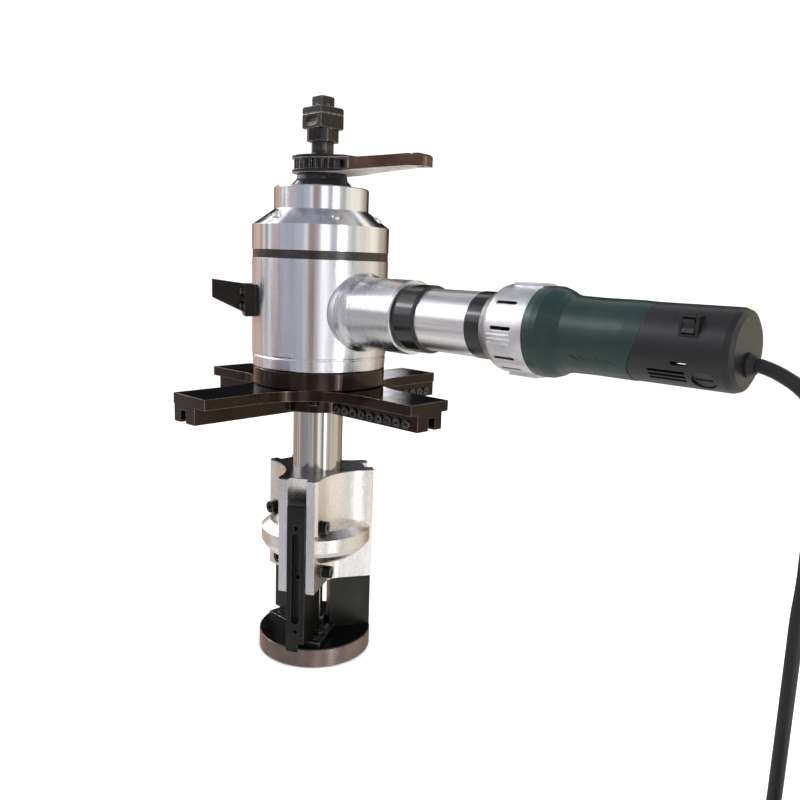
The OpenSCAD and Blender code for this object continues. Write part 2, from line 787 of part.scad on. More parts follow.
// Top cover: rim, cone, neck, the tube that holds the upper bush and the feed nut's seat
module top_cover() {
    tube_in = mandrel_r + run + bush_t + snug;
    color("#bdbebf")
    difference() {
        rotate_extrude() polygon([
            [mandrel_r + 0.7, bush_z0 + bush_l], [tube_in, bush_z0 + bush_l], [tube_in, bush_z0 + 3],
            [tube_in + 7, bush_z0 + 3], [tube_in + 7, cover_z0], [house_r, cover_z0], [house_r, cone_z0],
            [cover_neck_r, neck_z0], [cover_neck_r, collar_z0 - 1.2], [cover_neck_r - 1.2, collar_z0],
            [nut_flange_r + 2, collar_z0], [nut_flange_r + 2, nut_flange_z0 + nut_flange_h + seat],
            [nut_flange_r + seat, nut_flange_z0 + nut_flange_h + seat],
            [nut_flange_r + seat, nut_flange_z0 - seat], [mandrel_r + 0.7, nut_flange_z0 - seat]
        ]);
        for (k = [0:5]) cover_screw_at(k) {
            cylinder(r = 2.6, h = 24, center = true);
            translate([0, 0, -0.6]) cylinder(r = 5, h = 10);
        }
    }
}

module cover_screw_at(k) {
    lean = atan(cover_cone_h / (house_r - cover_neck_r));
    r = (house_r + cover_neck_r) / 2;
    z = (cone_z0 + neck_z0) / 2;
    rotate(-26 + 60 * k) translate([r, 0, z]) rotate([0, lean, 0]) children();
}

module cover_screws() {
    color("#d2d3d4")
    for (k = [0:5]) cover_screw_at(k)
    difference() {
        union() {
            translate([0, 0, -0.6]) cylinder(r1 = 4.4, r2 = 3.6, h = 2.2);
            translate([0, 0, -11]) cylinder(r = 2.5, h = 10.8);
        }
        translate([0, 0, 0.2]) cylinder(r = 1.9, h = 3, $fn = 6);
    }
}

module upper_guide_bush() {
    color("#b08d57")
    difference() {
        translate([0, 0, bush_z0]) tube(mandrel_r + run + bush_t, mandrel_r + run, bush_l);
        translate([-key_w / 2 - snug, mandrel_r - 5, key_z0 - snug]) cube([key_w + 2 * snug, 20, key_l + 2 * snug]);
    }
}

module feed_key() {
    color("#7d7f81")
    translate([-key_w / 2, mandrel_r - 3.6, key_z0]) cube([key_w, key_h, key_l]);
}

// Cone collar that closes the feed nut's seat
module nut_collar() {
    color("#161616")
    rotate_extrude() polygon([
        [nut_hub_r + 0.4, nut_flange_z0 + nut_flange_h + 2 * seat],
        [nut_flange_r + 2 - snug, nut_flange_z0 + nut_flange_h + 2 * seat],
        [nut_flange_r + 2 - snug, collar_z0], [nut_flange_r + 3, collar_z0], [nut_flange_r + 3, collar_z0 + 1.6],
        [nut_flange_r - 3, collar_z0 + 8], [nut_flange_r - 4, collar_z0 + collar_h],
        [nut_hub_r + 0.4, collar_z0 + collar_h]
    ]);
}

module feed_nut() {
    color("#6b6d6f")
    rotate_extrude() polygon([
        [thread_r + run, nut_flange_z0], [nut_flange_r, nut_flange_z0],
        [nut_flange_r, nut_flange_z0 + nut_flange_h], [nut_hub_r, nut_flange_z0 + nut_flange_h],
        [nut_hub_r, lever_z1 + 0.4], [thread_r + run, lever_z1 + 0.4]
    ]);
}

// Ratchet wheel with saw teeth
module ratchet_wheel() {
    root = wheel_r - 2.6;
    step = 360 / ratchet_teeth;
    color("#26211e")
    translate([0, 0, wheel_z0])
    difference() {
        linear_extrude(wheel_h) polygon([for (k = [0:ratchet_teeth - 1], j = [0, 1]) [
            (j == 0 ? root : wheel_r) * cos(step * (k + 0.82 * j)),
            (j == 0 ? root : wheel_r) * sin(step * (k + 0.82 * j))
        ]]);
        translate([0, 0, -1]) cylinder(r = nut_hub_r + snug, h = wheel_h + 2);
    }
}

// Lever: two thin cheeks over and under the wheel, joined where the handle starts
module lever_plan() {
    tip_r = 10;
    difference() {
        union() {
            circle(r = head_r);
            polygon([
                [14, -head_r + 3.5], [38, -21], [lever_reach - tip_r, -tip_r], [lever_reach - tip_r, tip_r],
                [38, 21], [14, head_r - 3.5]
            ]);
            translate([lever_reach - tip_r, 0]) circle(r = tip_r);
        }
        translate([lever_reach - tip_r - 1, 0]) circle(r = 4.2);
    }
}

module ratchet_lever() {
    tip_x = lever_reach - 10;
    color("#3d302a")
    rotate(lever_turn)
    translate([0, 0, lever_z0])
    difference() {
        linear_extrude(lever_h) lever_plan();
        translate([0, 0, -1]) cylinder(r = nut_hub_r + 0.4, h = lever_h + 2);
        translate([-40, -40, cheek_t]) cube([40 + handle_x, 80, lever_h - 2 * cheek_t]);
        rotate([90, 0, 0]) translate([0, 0, -60]) linear_extrude(120) polygon([
            [14, lever_h + 1], [14, lever_h], [44, lever_h - 1.2], [58, lever_h - 3.4], [84, lever_h - 2.8],
            [tip_x - 8, lever_h - 1.7], [tip_x - 6, lever_h - 2.7], [tip_x - 4.5, lever_h - 2.7],
            [tip_x - 3, lever_h - 1.7], [tip_x + 3, lever_h - 1.9], [tip_x + 4, lever_h - 2.9],
            [lever_reach + 1, lever_h - 5.6], [lever_reach + 1, lever_h + 1]
        ]);
        rotate([90, 0, 0]) translate([0, 0, -60]) linear_extrude(120) polygon([
            [40, -1], [40, 0], [51, 1.2], [84, 2.6], [111, 3.6], [tip_x + 4, 3], [lever_reach + 1, 2.2],
            [lever_reach + 1, -1]
        ]);
        translate([36, 5, -1]) cylinder(r = 2 + run, h = lever_h + 2);
    }
}

// Pawl on its pin between the cheeks, its nose just clear of the wheel's teeth
module ratchet_pawl() {
    color("#4a4643")
    rotate(lever_turn)
    translate([0, 0, wheel_z0]) {
        linear_extrude(wheel_h) polygon([
            [29.3, -1.5], [31.6, -6.5], [39, -8], [44, -5], [44.4, 3], [41, 8], [34, 8.4], [30.4, 3]
        ]);
        translate([36, 5, -cheek_t]) cylinder(r = 2, h = wheel_h + 2 * cheek_t);
    }
}

// Side lug: flange bolted to the housing, tapered block
module lug_place() {
    rotate(-120) translate([0, 0, motor_z]) children();
}

module side_lug() {
    color("#1d1c1c")
    lug_place()
    difference() {
        union() {
            translate([house_r - 4, -17, -8.5]) cube([13, 34, 32]);
            rotate([90, 0, 0]) translate([0, 0, -8.5]) linear_extrude(17) polygon([
                [house_r + 7, -6], [house_r + 40, 9.5], [house_r + 40, 27.5], [house_r + 7, 23.5]
            ]);
        }
        translate([0, 0, -60]) cylinder(r = house_r + snug, h = 120);
        for (y = [-lug_screw_y, lug_screw_y], z = [1.5, 15.5])
            translate([house_r - 5, y, z]) rotate([0, 90, 0]) cylinder(r = 2.6, h = 30);
        translate([house_r + 31, 0, 0]) cylinder(r = 4.25, h = 40);
    }
}

module side_lug_screws() {
    color("#2c2b2b")
    lug_place()
    for (y = [-lug_screw_y, lug_screw_y], z = [1.5, 15.5])
        translate([house_r + 9, y, z]) rotate([0, 90, 0]) cap_screw(4, 4.5, 2.5, 8.4);
}

module adaptor_ring() {
    color("#161617")
    at_motor(ring_a_x) rotate_extrude() polygon([
        [shaft_r + 4, -8], [socket_bore_r - snug, -8], [socket_bore_r - snug, 0], [ring_a_r - 1, 0],
        [ring_a_r, 1], [ring_a_r, ring_a_l - 1], [ring_a_r - 1, ring_a_l], [shaft_r + 4, ring_a_l]
    ]);
}

module gearbox_tube() {
    color("#b4b5b6")
    at_motor(tube_x) tube(tube_r, socket_bore_r, tube_l);
}

module gearbox_ring() {
    color("#161617")
    at_motor(ring_b_x)
    difference() {
        rotate_extrude() polygon([
            [arm_shaft_r + 4, -4], [socket_bore_r - snug, -4], [socket_bore_r - snug, 0], [tube_r + 0.6, 0],
            [tube_r + 0.6, ring_b_l], [arm_shaft_r + 4, ring_b_l]
        ]);
        translate([0, 0, 3]) cylinder(r = 14, h = ring_b_l);
    }
}

// Place of a cut or rib on the motor line: along X, turned round the axis from straight up, at a radius
module on_motor(x, turn, r) {
    at_motor(x) rotate(180 + turn) translate([r, 0, 0]) rotate([0, 90, 0]) children();
}

// Cast ring round the fan, with air slots
module vent_ring() {
    color("#aeb0b1")
    difference() {
        union() {
            at_motor(vent_x) rotate_extrude() polygon([
                [12, 0], [tube_r + 0.4, 0], [tube_r + 2.5, 4], [motor_r - 1, 11], [motor_r, 14],
                [motor_r, vent_l], [12, vent_l]
            ]);
            for (t = [0, 180]) on_motor(vent_x + 19.5, t, motor_r - 2)
                translate([0, -9, 0]) mirror([1, 0, 0]) cube([28, 18, 3.6]);
            for (t = [96, 101.5, 107, 264, 258.5, 253]) on_motor(vent_x + 15, t, motor_r - 1)
                translate([0, -0.9, 0]) mirror([1, 0, 0]) cube([22, 1.8, 2.2]);
        }
        at_motor(vent_x) rotate_extrude() polygon([
            [0, 9], [29, 13], [33, 17], [33, vent_l + 1], [0, vent_l + 1]
        ]);
        for (t = [52, 87, 128, 150, 210, 232, 273, 308]) on_motor(vent_x + 19, t, motor_r - 6)
            mirror([1, 0, 0]) round_slot(17, 3, 10);
    }
}

// Joint line between the motor housing and its tail, as a plan in X and Z
module tail_region(gap) {
    translate([0, 200, 0]) rotate([90, 0, 0]) linear_extrude(400) polygon([
        [tail_x + gap, motor_z + 60], [tail_x + gap, motor_z + 10], [tail_x - 3 + gap, motor_z - 2],
        [tail_x - 8 + gap, motor_z - 12], [tail_x - 10.5 + gap, motor_z - 20], [tail_x - 11 + gap, motor_z - 60],
        [tail_x + 150, motor_z - 60], [tail_x + 150, motor_z + 60]
    ]);
}

module motor_housing() {
    color("#1f3a38")
    difference() {
        at_motor(motor_x) rotate_extrude() polygon([
            [motor_r - 3, 0], [motor_r, 0], [motor_r + 0.3, 6], [motor_r, 12], [motor_r - 1.6, 17],
            [motor_r - 4.4, 22], [grip_r, 29], [grip_r - 0.6, 50], [grip_r - 0.5, 80], [tail_r, motor_l],
            [tail_in_r, motor_l], [grip_in_r, motor_l - 14], [grip_in_r, 26], [motor_r - 3, 16]
        ]);
        tail_region(-0.1);
        for (s = [-1, 1], k = [0:4]) on_motor(motor_x + 40 + 7 * k, s * 118, grip_r - 0.9)
            rotate(-s * 24) mirror([1, 0, 0]) round_slot(20, 1.6, 4);
    }
}

module motor_tail() {
    color("#232527")
    difference() {
        union() {
            intersection() {
                tail_region(0.1);
                at_motor(tail_x - 14) rotate_extrude() polygon([
                    [tail_in_r, 0], [tail_r, 0], [tail_r, tail_l + 8], [tail_r - 1.4, tail_l + 12],
                    [tail_r - 5, tail_l + 14], [0, tail_l + 14], [0, tail_l + 10.5], [tail_in_r, tail_l + 10.5]
                ]);
            }
            at_motor(rear_bearing_x - 0.6) tube(tail_in_r + 1, 8.6, 6.6);
        }
        for (k = [0:2], s = [-1, 1]) on_motor(tail_x + 32, s * (125.5 + 7.5 * k), tail_in_r - 4)
            round_slot(25, 2.4, 10);
        for (s = [-1, 1]) on_motor(tail_x + 34, s * 111, tail_in_r - 4) round_slot(9, 2.4, 10);
        translate([switch_x - switch_w / 2, -tail_r - 5, motor_z + switch_rise - switch_l / 2])
            cube([switch_w, 20, switch_l]);
        for (t = [138, 318]) on_motor(brush_x, t, tail_r - 4.5) cylinder(r = 8.4, h = 10);
        for (t = [138, 318]) on_motor(brush_x, t, tail_r - 9) cylinder(r = 5.6, h = 10);
        at_motor(motor_end_x - 6) translate([boot_drop, 0, 0]) cylinder(r = 8.3, h = 10);
    }
}

module brush_caps() {
    color("#17181a")
    for (t = [138, 318]) on_motor(brush_x, t, tail_r - 4.5)
    difference() {
        union() {
            cylinder(r = 8.1, h = 2.6);
            translate([0, 0, -4]) cylinder(r = 5.4, h = 4.1);
        }
        translate([-6, -1, 1.6]) cube([12, 2, 3]);
    }
}

// Switch: frame in the tail's wall, rocker on its pivot
module switch_place() {
    y = sqrt(tail_r * tail_r - (switch_rise - 7) * (switch_rise - 7));
    translate([switch_x, -y, motor_z + switch_rise]) rotate([90, 0, 0]) children();
}

module switch_frame() {
    color("#1b1c1d")
    switch_place()
    difference() {
        union() {
            translate([-switch_w / 2 + snug, -switch_l / 2 + snug, -9]) cube([switch_w - 2 * snug, switch_l - 2 * snug, 9.6]);
        }
        translate([-4.6, -5.6, -7.5]) cube([9.2, 11.2, 20]);
        translate([-5.6, 0, -2.6]) rotate([0, 90, 0]) cylinder(r = 1 + run, h = 11.2);
    }
}

module switch_rocker() {
    color("#101112")
    switch_place()
    translate([0, 0, -2.6])
    difference() {
        union() {
            rotate([0, 90, 0]) translate([0, 0, -4.2]) linear_extrude(8.4) polygon([
                [-4.2, -4.6], [-2.9, -1.5], [-2.9, 1.5], [-4.9, 4.6], [-1, 4.6], [1.4, 0], [-0.4, -4.6]
            ]);
            translate([-5.4, 0, 0]) rotate([0, 90, 0]) cylinder(r = 1, h = 10.8);
        }
    }
}

// Rotor: shaft with the sun pinion, core, and on it the fan and the commutator
module rotor() {
    color("#6d6f71")
    union() {
        at_motor(planet_x) cylinder(r = arm_shaft_r, h = rear_bearing_x + 5 - planet_x);
        at_motor(planet_x) cylinder(r = sun_r, h = planet_l);
        at_motor(core_x) cylinder(r = core_r, h = core_l);
        at_motor(core_x - 7) cylinder(r1 = core_r - 6, r2 = core_r - 2, h = 7);
        at_motor(core_x + core_l) cylinder(r1 = core_r - 2, r2 = core_r - 6, h = 8);
    }
}

module cooling_fan() {
    color("#24262a")
    at_motor(fan_x)
    difference() {
        union() {
            cylinder(r = fan_r, h = fan_disc_t);
            cylinder(r = fan_hub_r, h = fan_l);
            for (k = [0:10]) rotate(k * 360 / 11) translate([fan_hub_r - 1, 0, fan_disc_t / 2]) rotate(12)
                translate([0, -0.8, 0]) cube([fan_r - fan_hub_r - 0.5, 1.6, fan_l - fan_disc_t / 2]);
        }
        translate([0, 0, -1]) cylinder(r = arm_shaft_r + run, h = fan_l + 3);
    }
}

module commutator() {
    color("#a8683c")
    at_motor(rear_bearing_x - 0.9 - commutator_l)
    difference() {
        tube(10.5, arm_shaft_r + run, commutator_l);
        for (k = [0:11]) rotate(30 * k) translate([10, -0.3, -1]) cube([2, 0.6, commutator_l + 2]);
    }
}

module rotor_bearings() {
    color("#9fa1a3") {
        at_motor(ring_b_x + 3) tube(14 - snug, arm_shaft_r + run, 9);
        at_motor(rear_bearing_x) tube(8.6 - snug, arm_shaft_r + run, 5);
    }
}

module stator() {
    color("#7b6a58")
    at_motor(core_x)
    difference() {
        tube(grip_in_r - snug, core_r + 0.6, core_l);
        for (k = [0:1]) rotate(180 * k) translate([core_r - 1, -5, -1]) cube([6, 10, core_l + 2]);
    }
}

module cord_boot() {
    color("#141516")
    at_motor(boot_x0) translate([boot_drop, 0, 0])
    rotate_extrude() polygon([
        [0, 0], [8.9, 0], [8.9, 4.5], [8, 4.9], [8, 10.4], [7.2, 11.9], [6.2, boot_l], [0, boot_l]
    ]);
}

// A tube swept along points, with a ring of corners square to the path at each of them
function unit(v) = v / norm(v);
function path_dir(p, i) = unit(p[min(i + 1, len(p) - 1)] - p[max(i - 1, 0)]);
function side_dir(t) = abs(t[1]) > 0.9 ? unit(cross(t, [1, 0, 0])) : unit(cross(t, [0, 1, 0]));

module swept_tube(p, r, sides, side) {
    n = len(p);
    rings = [for (i = [0:n - 1], k = [0:sides - 1])
        let (t = path_dir(p, i), u = unit(side - (side * t) * t), v = cross(t, u), a = 360 * k / sides)
        p[i] + r * cos(a) * u + r * sin(a) * v];
    walls = [for (i = [0:n - 2], k = [0:sides - 1], h = [0, 1])
        let (a = i * sides + k, b = i * sides + (k + 1) % sides)
        h == 0 ? [a, a + sides, b] : [b, a + sides, b + sides]];
    first = [for (k = [1:sides - 2]) [0, k, k + 1]];
    last = [for (k = [1:sides - 2]) [(n - 1) * sides, (n - 1) * sides + k + 1, (n - 1) * sides + k]];
    polyhedron(points = rings, faces = concat(walls, first, last), convexity = 10);
}

// Middle line of the coil: layers spiral in and out, and climb in the half turn where they turn round
function wave(t) = abs(t / layer_turns - 2 * floor(t / layer_turns / 2 + 0.5));
function climb(t) = let (k = floor(t / layer_turns + 0.5), s = t - k * layer_turns)
    k == 0 ? 0 : k - 1 + min(1, max(0, 0.5 + 2 * s));
function coil_point(t) = let (
        r = coil_out_r - coil_pitch * layer_turns * wave(t),
        a = 90 - 360 * t
    ) [
        coil_at[0] + r * cos(a), coil_at[1] + r * sin(a),
        coil_lift + cord_r + coil_pitch * climb(t)
    ];
coil_core = [for (i = [0:coil_turns * coil_steps]) coil_point(i / coil_steps)];
coil_first = [coil_core[0] - [cord_d, 0, 0]];
coil_last = [coil_core[len(coil_core) - 1] - [0, cord_d, 0]];
coil_path = concat(coil_first, coil_core, coil_last);
coil_clear = min([for (i = [0:len(coil_path) - 1], j = [i + 12:1:len(coil_path) - 1])
    norm(coil_path[i] - coil_path[j])]) - cord_d;
echo(coil_least_gap = coil_clear);
coil_sum = [for (i = [0:len(coil_path) - 2]) norm(coil_path[i + 1] - coil_path[i])];
function total(v, i = 0) = i >= len(v) ? 0 : v[i] + total(v, i + 1);
echo(coil_length = total(coil_sum));

// Short end of the lead: out of the coil and down to the plug
tail_route = [
    [0, 0, 0], [0, -8, 0], [0, -20, 0], [0, -33, 0], [0, -46, 0], [0.5, -54, -3], [2, -63, -9.5],
    [3.5, -72, -15.4], [4.6, -79, -18.1], [5, -85, -18.8], [5, -89, -18.8]
];
tail_start = coil_path[len(coil_path) - 1] - [0, 0.2, 0];
tail_points = [for (p = tail_route) tail_start + p];
plug_at = tail_points[len(tail_points) - 1] - [0, 0.1, 0];

module cord_free() {
    color("#121212") {
        swept_tube(lead_points, cord_r, 8, [0, 1, 0]);
        swept_tube(tail_points, cord_r, 8, [1, 0, 0]);
    }
}

module cord_coil() {
    color("#121212") swept_tube(coil_path, cord_r, 6, [0, 0, 1]);
}

// Strap round the coil's turns
module cord_tie() {
    color("#2a2a2c")
    translate([coil_at[0], coil_at[1], 0]) rotate(-160)
    translate([coil_r - layer_turns * coil_pitch / 2 - cord_r - 2, 0, 0])
    rotate([90, 0, 0]) translate([0, 0, -7])
    difference() {
        linear_extrude(14) square([layer_turns * coil_pitch + cord_d + 4, coil_lift + 3 * coil_pitch + cord_d + 2]);
        translate([1, 1, -1]) linear_extrude(16)
            square([layer_turns * coil_pitch + cord_d + 2, coil_lift + 3 * coil_pitch + cord_d]);
    }
}

// Two-pin plug with a tapered grip
module mains_plug() {
    color("#161617")
    translate(plug_at) rotate([90, 0, 0]) {
        rotate_extrude() polygon([
            [0, 0], [6.5, 0], [8.5, 14], [12, 22], [16.5, 26], [17.5, 30], [17.5, 40], [16.5, 42], [0, 42]
        ]);
        for (s = [-1, 1]) translate([s * 9.5, 0, 42]) {
            cylinder(r = 2.4, h = 17.6);
            translate([0, 0, 17.6]) cylinder(r1 = 2.4, r2 = 1.2, h = 1.4);
        }
    }
}

foot_disc();
jaw_guide_strips();
guide_strip_screws();
draw_rod();
foot_nut();
rod_square_end();
jaw_front();
jaw_right();
jaw_back();
mandrel();
expander_body();
jaw_guide_screws();
thrust_collar();
clamp_nut();
cutter_plate();
cutter_head_screws();
hub_disc();
spindle_sleeve();
lower_guide_bush();
bevel_ring_gear();
main_housing();
spindle_bearing();
housing_band();
top_cover();
cover_screws();
upper_guide_bush();
feed_key();
nut_collar();
feed_nut();
ratchet_wheel();
ratchet_lever();
ratchet_pawl();
side_lug();
side_lug_screws();
pinion_shaft();
bevel_pinion();
pinion_bearings();
adaptor_ring();
gearbox_tube();
planet_ring_gear();
planet_gear_1();
planet_gear_2();
planet_gear_3();
gearbox_ring();
vent_ring();
rotor();
cooling_fan();
commutator();
rotor_bearings();
stator();
motor_housing();
motor_tail();
brush_caps();
switch_frame();
switch_rocker();
cord_boot();
cord_free();
cord_coil();
cord_tie();
mains_plug();
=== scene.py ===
import math

import bpy
from mathutils import Matrix, Vector


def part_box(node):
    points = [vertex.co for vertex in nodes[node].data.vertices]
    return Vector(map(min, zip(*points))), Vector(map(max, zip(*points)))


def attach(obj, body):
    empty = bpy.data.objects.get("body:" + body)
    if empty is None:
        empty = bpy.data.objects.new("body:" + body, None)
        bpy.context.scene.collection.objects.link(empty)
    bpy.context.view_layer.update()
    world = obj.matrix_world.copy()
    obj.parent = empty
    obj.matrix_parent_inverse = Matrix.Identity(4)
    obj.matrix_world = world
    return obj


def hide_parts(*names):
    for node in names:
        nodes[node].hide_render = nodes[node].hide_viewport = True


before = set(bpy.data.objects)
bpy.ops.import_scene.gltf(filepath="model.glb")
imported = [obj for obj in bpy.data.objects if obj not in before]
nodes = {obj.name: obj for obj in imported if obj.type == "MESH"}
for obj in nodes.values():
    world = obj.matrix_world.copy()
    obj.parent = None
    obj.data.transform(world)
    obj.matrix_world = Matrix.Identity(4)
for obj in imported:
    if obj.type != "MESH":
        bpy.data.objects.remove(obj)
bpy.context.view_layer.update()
scene = bpy.context.scene

MM = 0.001
X_AXIS = (1, 0, 0)
Z_AXIS = (0, 0, 1)

# Heights read from the frame: motor axis, where the mandrel turns black, top of the expander
tube_low, tube_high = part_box("gearbox_tube")
MOTOR_Z = (tube_low.z + tube_high.z) / 2
NECK_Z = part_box("feed_nut")[1].z + 1.5 * MM
EXPANDER_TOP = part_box("expander_body")[1].z


# Camera at the photo's angle, in metres and degrees, with lens and sensor in millimetres
CAMERA_PLACE = (0.6384, -0.5308, 0.4251)
CAMERA_HEADING = math.radians(134.23)
CAMERA_PITCH = math.radians(-9.99)
CAMERA_ROLL = math.radians(1.99)
CAMERA_LENS = 35.27
SENSOR_WIDTH = 36
CLIP_START = 0.01
CLIP_END = 50


def make_camera():
    """Adds the camera from its place, heading, pitch and roll."""
    data = bpy.data.cameras.new("camera")
    data.lens = CAMERA_LENS
    data.sensor_width = SENSOR_WIDTH
    data.clip_start = CLIP_START
    data.clip_end = CLIP_END
    cam = bpy.data.objects.new("camera", data)
    scene.collection.objects.link(cam)
    flat = math.cos(CAMERA_PITCH)
    forward = Vector((
        math.cos(CAMERA_HEADING) * flat,
        math.sin(CAMERA_HEADING) * flat,
        math.sin(CAMERA_PITCH),
    ))
    level = forward.cross(Vector(Z_AXIS)).normalized()
    upward = level.cross(forward)
    right = level * math.cos(CAMERA_ROLL) + upward * math.sin(CAMERA_ROLL)
    top = upward * math.cos(CAMERA_ROLL) - level * math.sin(CAMERA_ROLL)
    turn = Matrix((right, top, -forward)).transposed()
    cam.matrix_world = Matrix.Translation(CAMERA_PLACE) @ turn.to_4x4()
    scene.camera = cam


# Mains lead, on the same route as the CAD cord
CORD_D = 9.6 * MM
COIL_X = 560 * MM
COIL_LIFT = 1.4 * MM
COIL_R = 55 * MM
COIL_PITCH = CORD_D + 0.6 * MM
COIL_TURNS = 9.25
LAYER_TURNS = 2.5
COIL_STEPS = 48
COIL_OUT_R = COIL_R + LAYER_TURNS * COIL_PITCH / 2
COIL_Y = -COIL_OUT_R
FREE_STEP = 6 * MM
TAIL_STEP = 4 * MM
TUBE_RESOLUTION = 6

# Points in millimetres: from the motor down to the coil, and from the coil's end to the plug
LEAD_POINTS = [
    (448.1, 0, 365.8), (451, 0, 365.8), (460, 0, 363.2), (468, 0, 359.6), (475, 0, 355.6),
    (483, 0, 348.6), (489.6, 0, 337.5), (493, 0, 322), (494, 0, 300), (494, 0, 276),
    (493, 0, 252), (493, 0, 228), (492, 0, 204), (492, 0, 180), (492, 0, 156), (492, 0, 132),
    (492, 0, 108), (492, 0, 82), (492, 0, 58), (494, 0, 44), (499, 0, 32), (507, 0, 22),
    (517, 0, 14), (529, 0, 8.4), (541, 0, 6.2), (550.4, 0, 6.2),
]
TAIL_ROUTE = [
    (0, 0, 0), (0, -8, 0), (0, -20, 0), (0, -33, 0), (0, -46, 0), (0.5, -54, -3),
    (2, -63, -9.5), (3.5, -72, -15.4), (4.6, -79, -18.1), (5, -85, -18.8), (5, -89.2, -18.8),
]


def wave(t):
    """Goes from 0 to 1 over one layer's turns and back over the next."""
    half = t / LAYER_TURNS
    return abs(half - 2 * math.floor(half / 2 + 0.5))


def climb(t):
    """The layer at turn t, with half a turn to step up to the next."""
    k = math.floor(t / LAYER_TURNS + 0.5)
    if k == 0:
        return 0
    return k - 1 + min(1, max(0, 0.5 + 2 * (t - k * LAYER_TURNS)))


def coil_point(t):
    """The coil's centreline after t turns."""
    r = COIL_OUT_R - COIL_PITCH * LAYER_TURNS * wave(t)
    a = math.pi / 2 - 2 * math.pi * t
    return Vector((
        COIL_X + r * math.cos(a),
        COIL_Y + r * math.sin(a),
        COIL_LIFT + CORD_D / 2 + COIL_PITCH * climb(t),
    ))


def smooth_path(points, step):
    """Smooth curve through points, sampled about every step metres."""
    ends = [2 * points[0] - points[1], *points, 2 * points[-1] - points[-2]]
    out = []
    for a, b, c, d in zip(ends, ends[1:], ends[2:], ends[3:]):
        parts = max(2, round((c - b).length / step))
        for i in range(parts):
            t = i / parts
            out.append(0.5 * (
                2 * b
                + (c - a) * t
                + (2 * a - 5 * b + 4 * c - d) * t ** 2
                + (3 * b - a - 3 * c + d) * t ** 3
            ))
    out.append(points[-1].copy())
    return out


def curve_tube(name, points, radius):
    """A capped round tube along points, as a curve.

    The points hold the radius and the bevel is 1, which keeps the curve's bounding box true.
    """
    data = bpy.data.curves.new(name, "CURVE")
    data.dimensions = "3D"
    data.bevel_depth = 1
    data.bevel_resolution = TUBE_RESOLUTION
    data.use_fill_caps = True
    line = data.splines.new("POLY")
    line.points.add(len(points) - 1)
    for spot, p in zip(line.points, points):
        spot.co = (*p, 1)
        spot.radius = radius
    line.use_smooth = True
    piece = bpy.data.objects.new(name, data)
    scene.collection.objects.link(piece)
    return piece


def make_lead():
    """The lead's hanging part, coil and tail as one cord in place of the CAD nodes."""
    free = smooth_path([Vector(p) * MM for p in LEAD_POINTS], FREE_STEP)
    steps = int(COIL_TURNS * COIL_STEPS)
    wound = [coil_point(i / COIL_STEPS) for i in range(steps + 1)]
    last = wound[-1] - Vector((0, CORD_D, 0))
    tail = smooth_path([last + Vector(p) * MM for p in TAIL_ROUTE], TAIL_STEP)
    points = free + wound + tail
    lead = curve_tube("mains_lead", points, CORD_D / 2)
    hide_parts("cord_free", "cord_coil")
    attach(lead, "drive_head")
    return lead


# Node calls that the materials and the world share
# Sockets of a Mix node by number, since its colours and numbers have the same names
MIX_FACTOR = 0
NUMBER_A, NUMBER_B, NUMBER_OUT = 2, 3, 0
COLOUR_A, COLOUR_B, COLOUR_OUT = 6, 7, 2


def fill_band(band, stops):
    """Gives a colour ramp its stops, which are in rising order."""
    band.elements[0].position = stops[0][0]
    band.elements[0].color = (*stops[0][1], 1)
    band.elements[1].position = 1
    for spot, colour in stops[1:-1]:
        band.elements.new(spot).color = (*colour, 1)
    band.elements[-1].position = stops[-1][0]
    band.elements[-1].color = (*stops[-1][1], 1)


class Graph:
    """Short calls that add nodes to a material's or the world's tree."""

    def __init__(self, tree):
        self.tree = tree

    def node(self, kind, **values):
        n = self.tree.nodes.new(kind)
        for key, value in values.items():
            setattr(n, key, value)
        return n

    def link(self, a, b):
        self.tree.links.new(a, b)

    def give(self, socket, value):
        """Links value if it is a socket, and sets it if it is a number, vector or colour."""
        if hasattr(value, "links"):
            self.link(value, socket)
        elif isinstance(value, tuple) and len(value) < len(socket.default_value):
            socket.default_value = (*value, 1)
        else:
            socket.default_value = value

    def span(self, socket, low, high, to_low=0.0, to_high=1.0):
        """Maps low to high onto to_low to to_high, and holds the ends."""
        n = self.node("ShaderNodeMapRange", clamp=True)
        names = ("From Min", "From Max", "To Min", "To Max")
        for name, value in zip(names, (low, high, to_low, to_high)):
            n.inputs[name].default_value = value
        self.link(socket, n.inputs["Value"])
        return n.outputs["Result"]

    def ramp(self, socket, stops):
        n = self.node("ShaderNodeValToRGB")
        fill_band(n.color_ramp, stops)
        self.link(socket, n.inputs["Fac"])
        return n.outputs["Color"]

    def blend(self, fac, a, b, kind="MIX"):
        """Mixes two colours."""
        n = self.node("ShaderNodeMix", data_type="RGBA", blend_type=kind)
        for spot, value in ((MIX_FACTOR, fac), (COLOUR_A, a), (COLOUR_B, b)):
            self.give(n.inputs[spot], value)
        return n.outputs[COLOUR_OUT]

    def mix(self, fac, a, b):
        """Mixes two numbers."""
        n = self.node("ShaderNodeMix")
        for spot, value in ((MIX_FACTOR, fac), (NUMBER_A, a), (NUMBER_B, b)):
            self.give(n.inputs[spot], value)
        return n.outputs[NUMBER_OUT]

    def math(self, how, a, b):
        n = self.node("ShaderNodeMath", operation=how)
        self.give(n.inputs[0], a)
        self.give(n.inputs[1], b)
        return n.outputs[0]

    def vector(self, how, a, b, out="Vector"):
        n = self.node("ShaderNodeVectorMath", operation=how)
        self.give(n.inputs[0], a)
        self.give(n.inputs[1], b)
        return n.outputs[out]

    def add(self, a, b):
        return self.math("ADD", a, b)

    def times(self, *parts):
        total = parts[0]
        for part in parts[1:]:
            total = self.math("MULTIPLY", total, part)
        return total


# Materials: every one is worked out from the object's own place, with no image
BEVEL_SAMPLES = 6
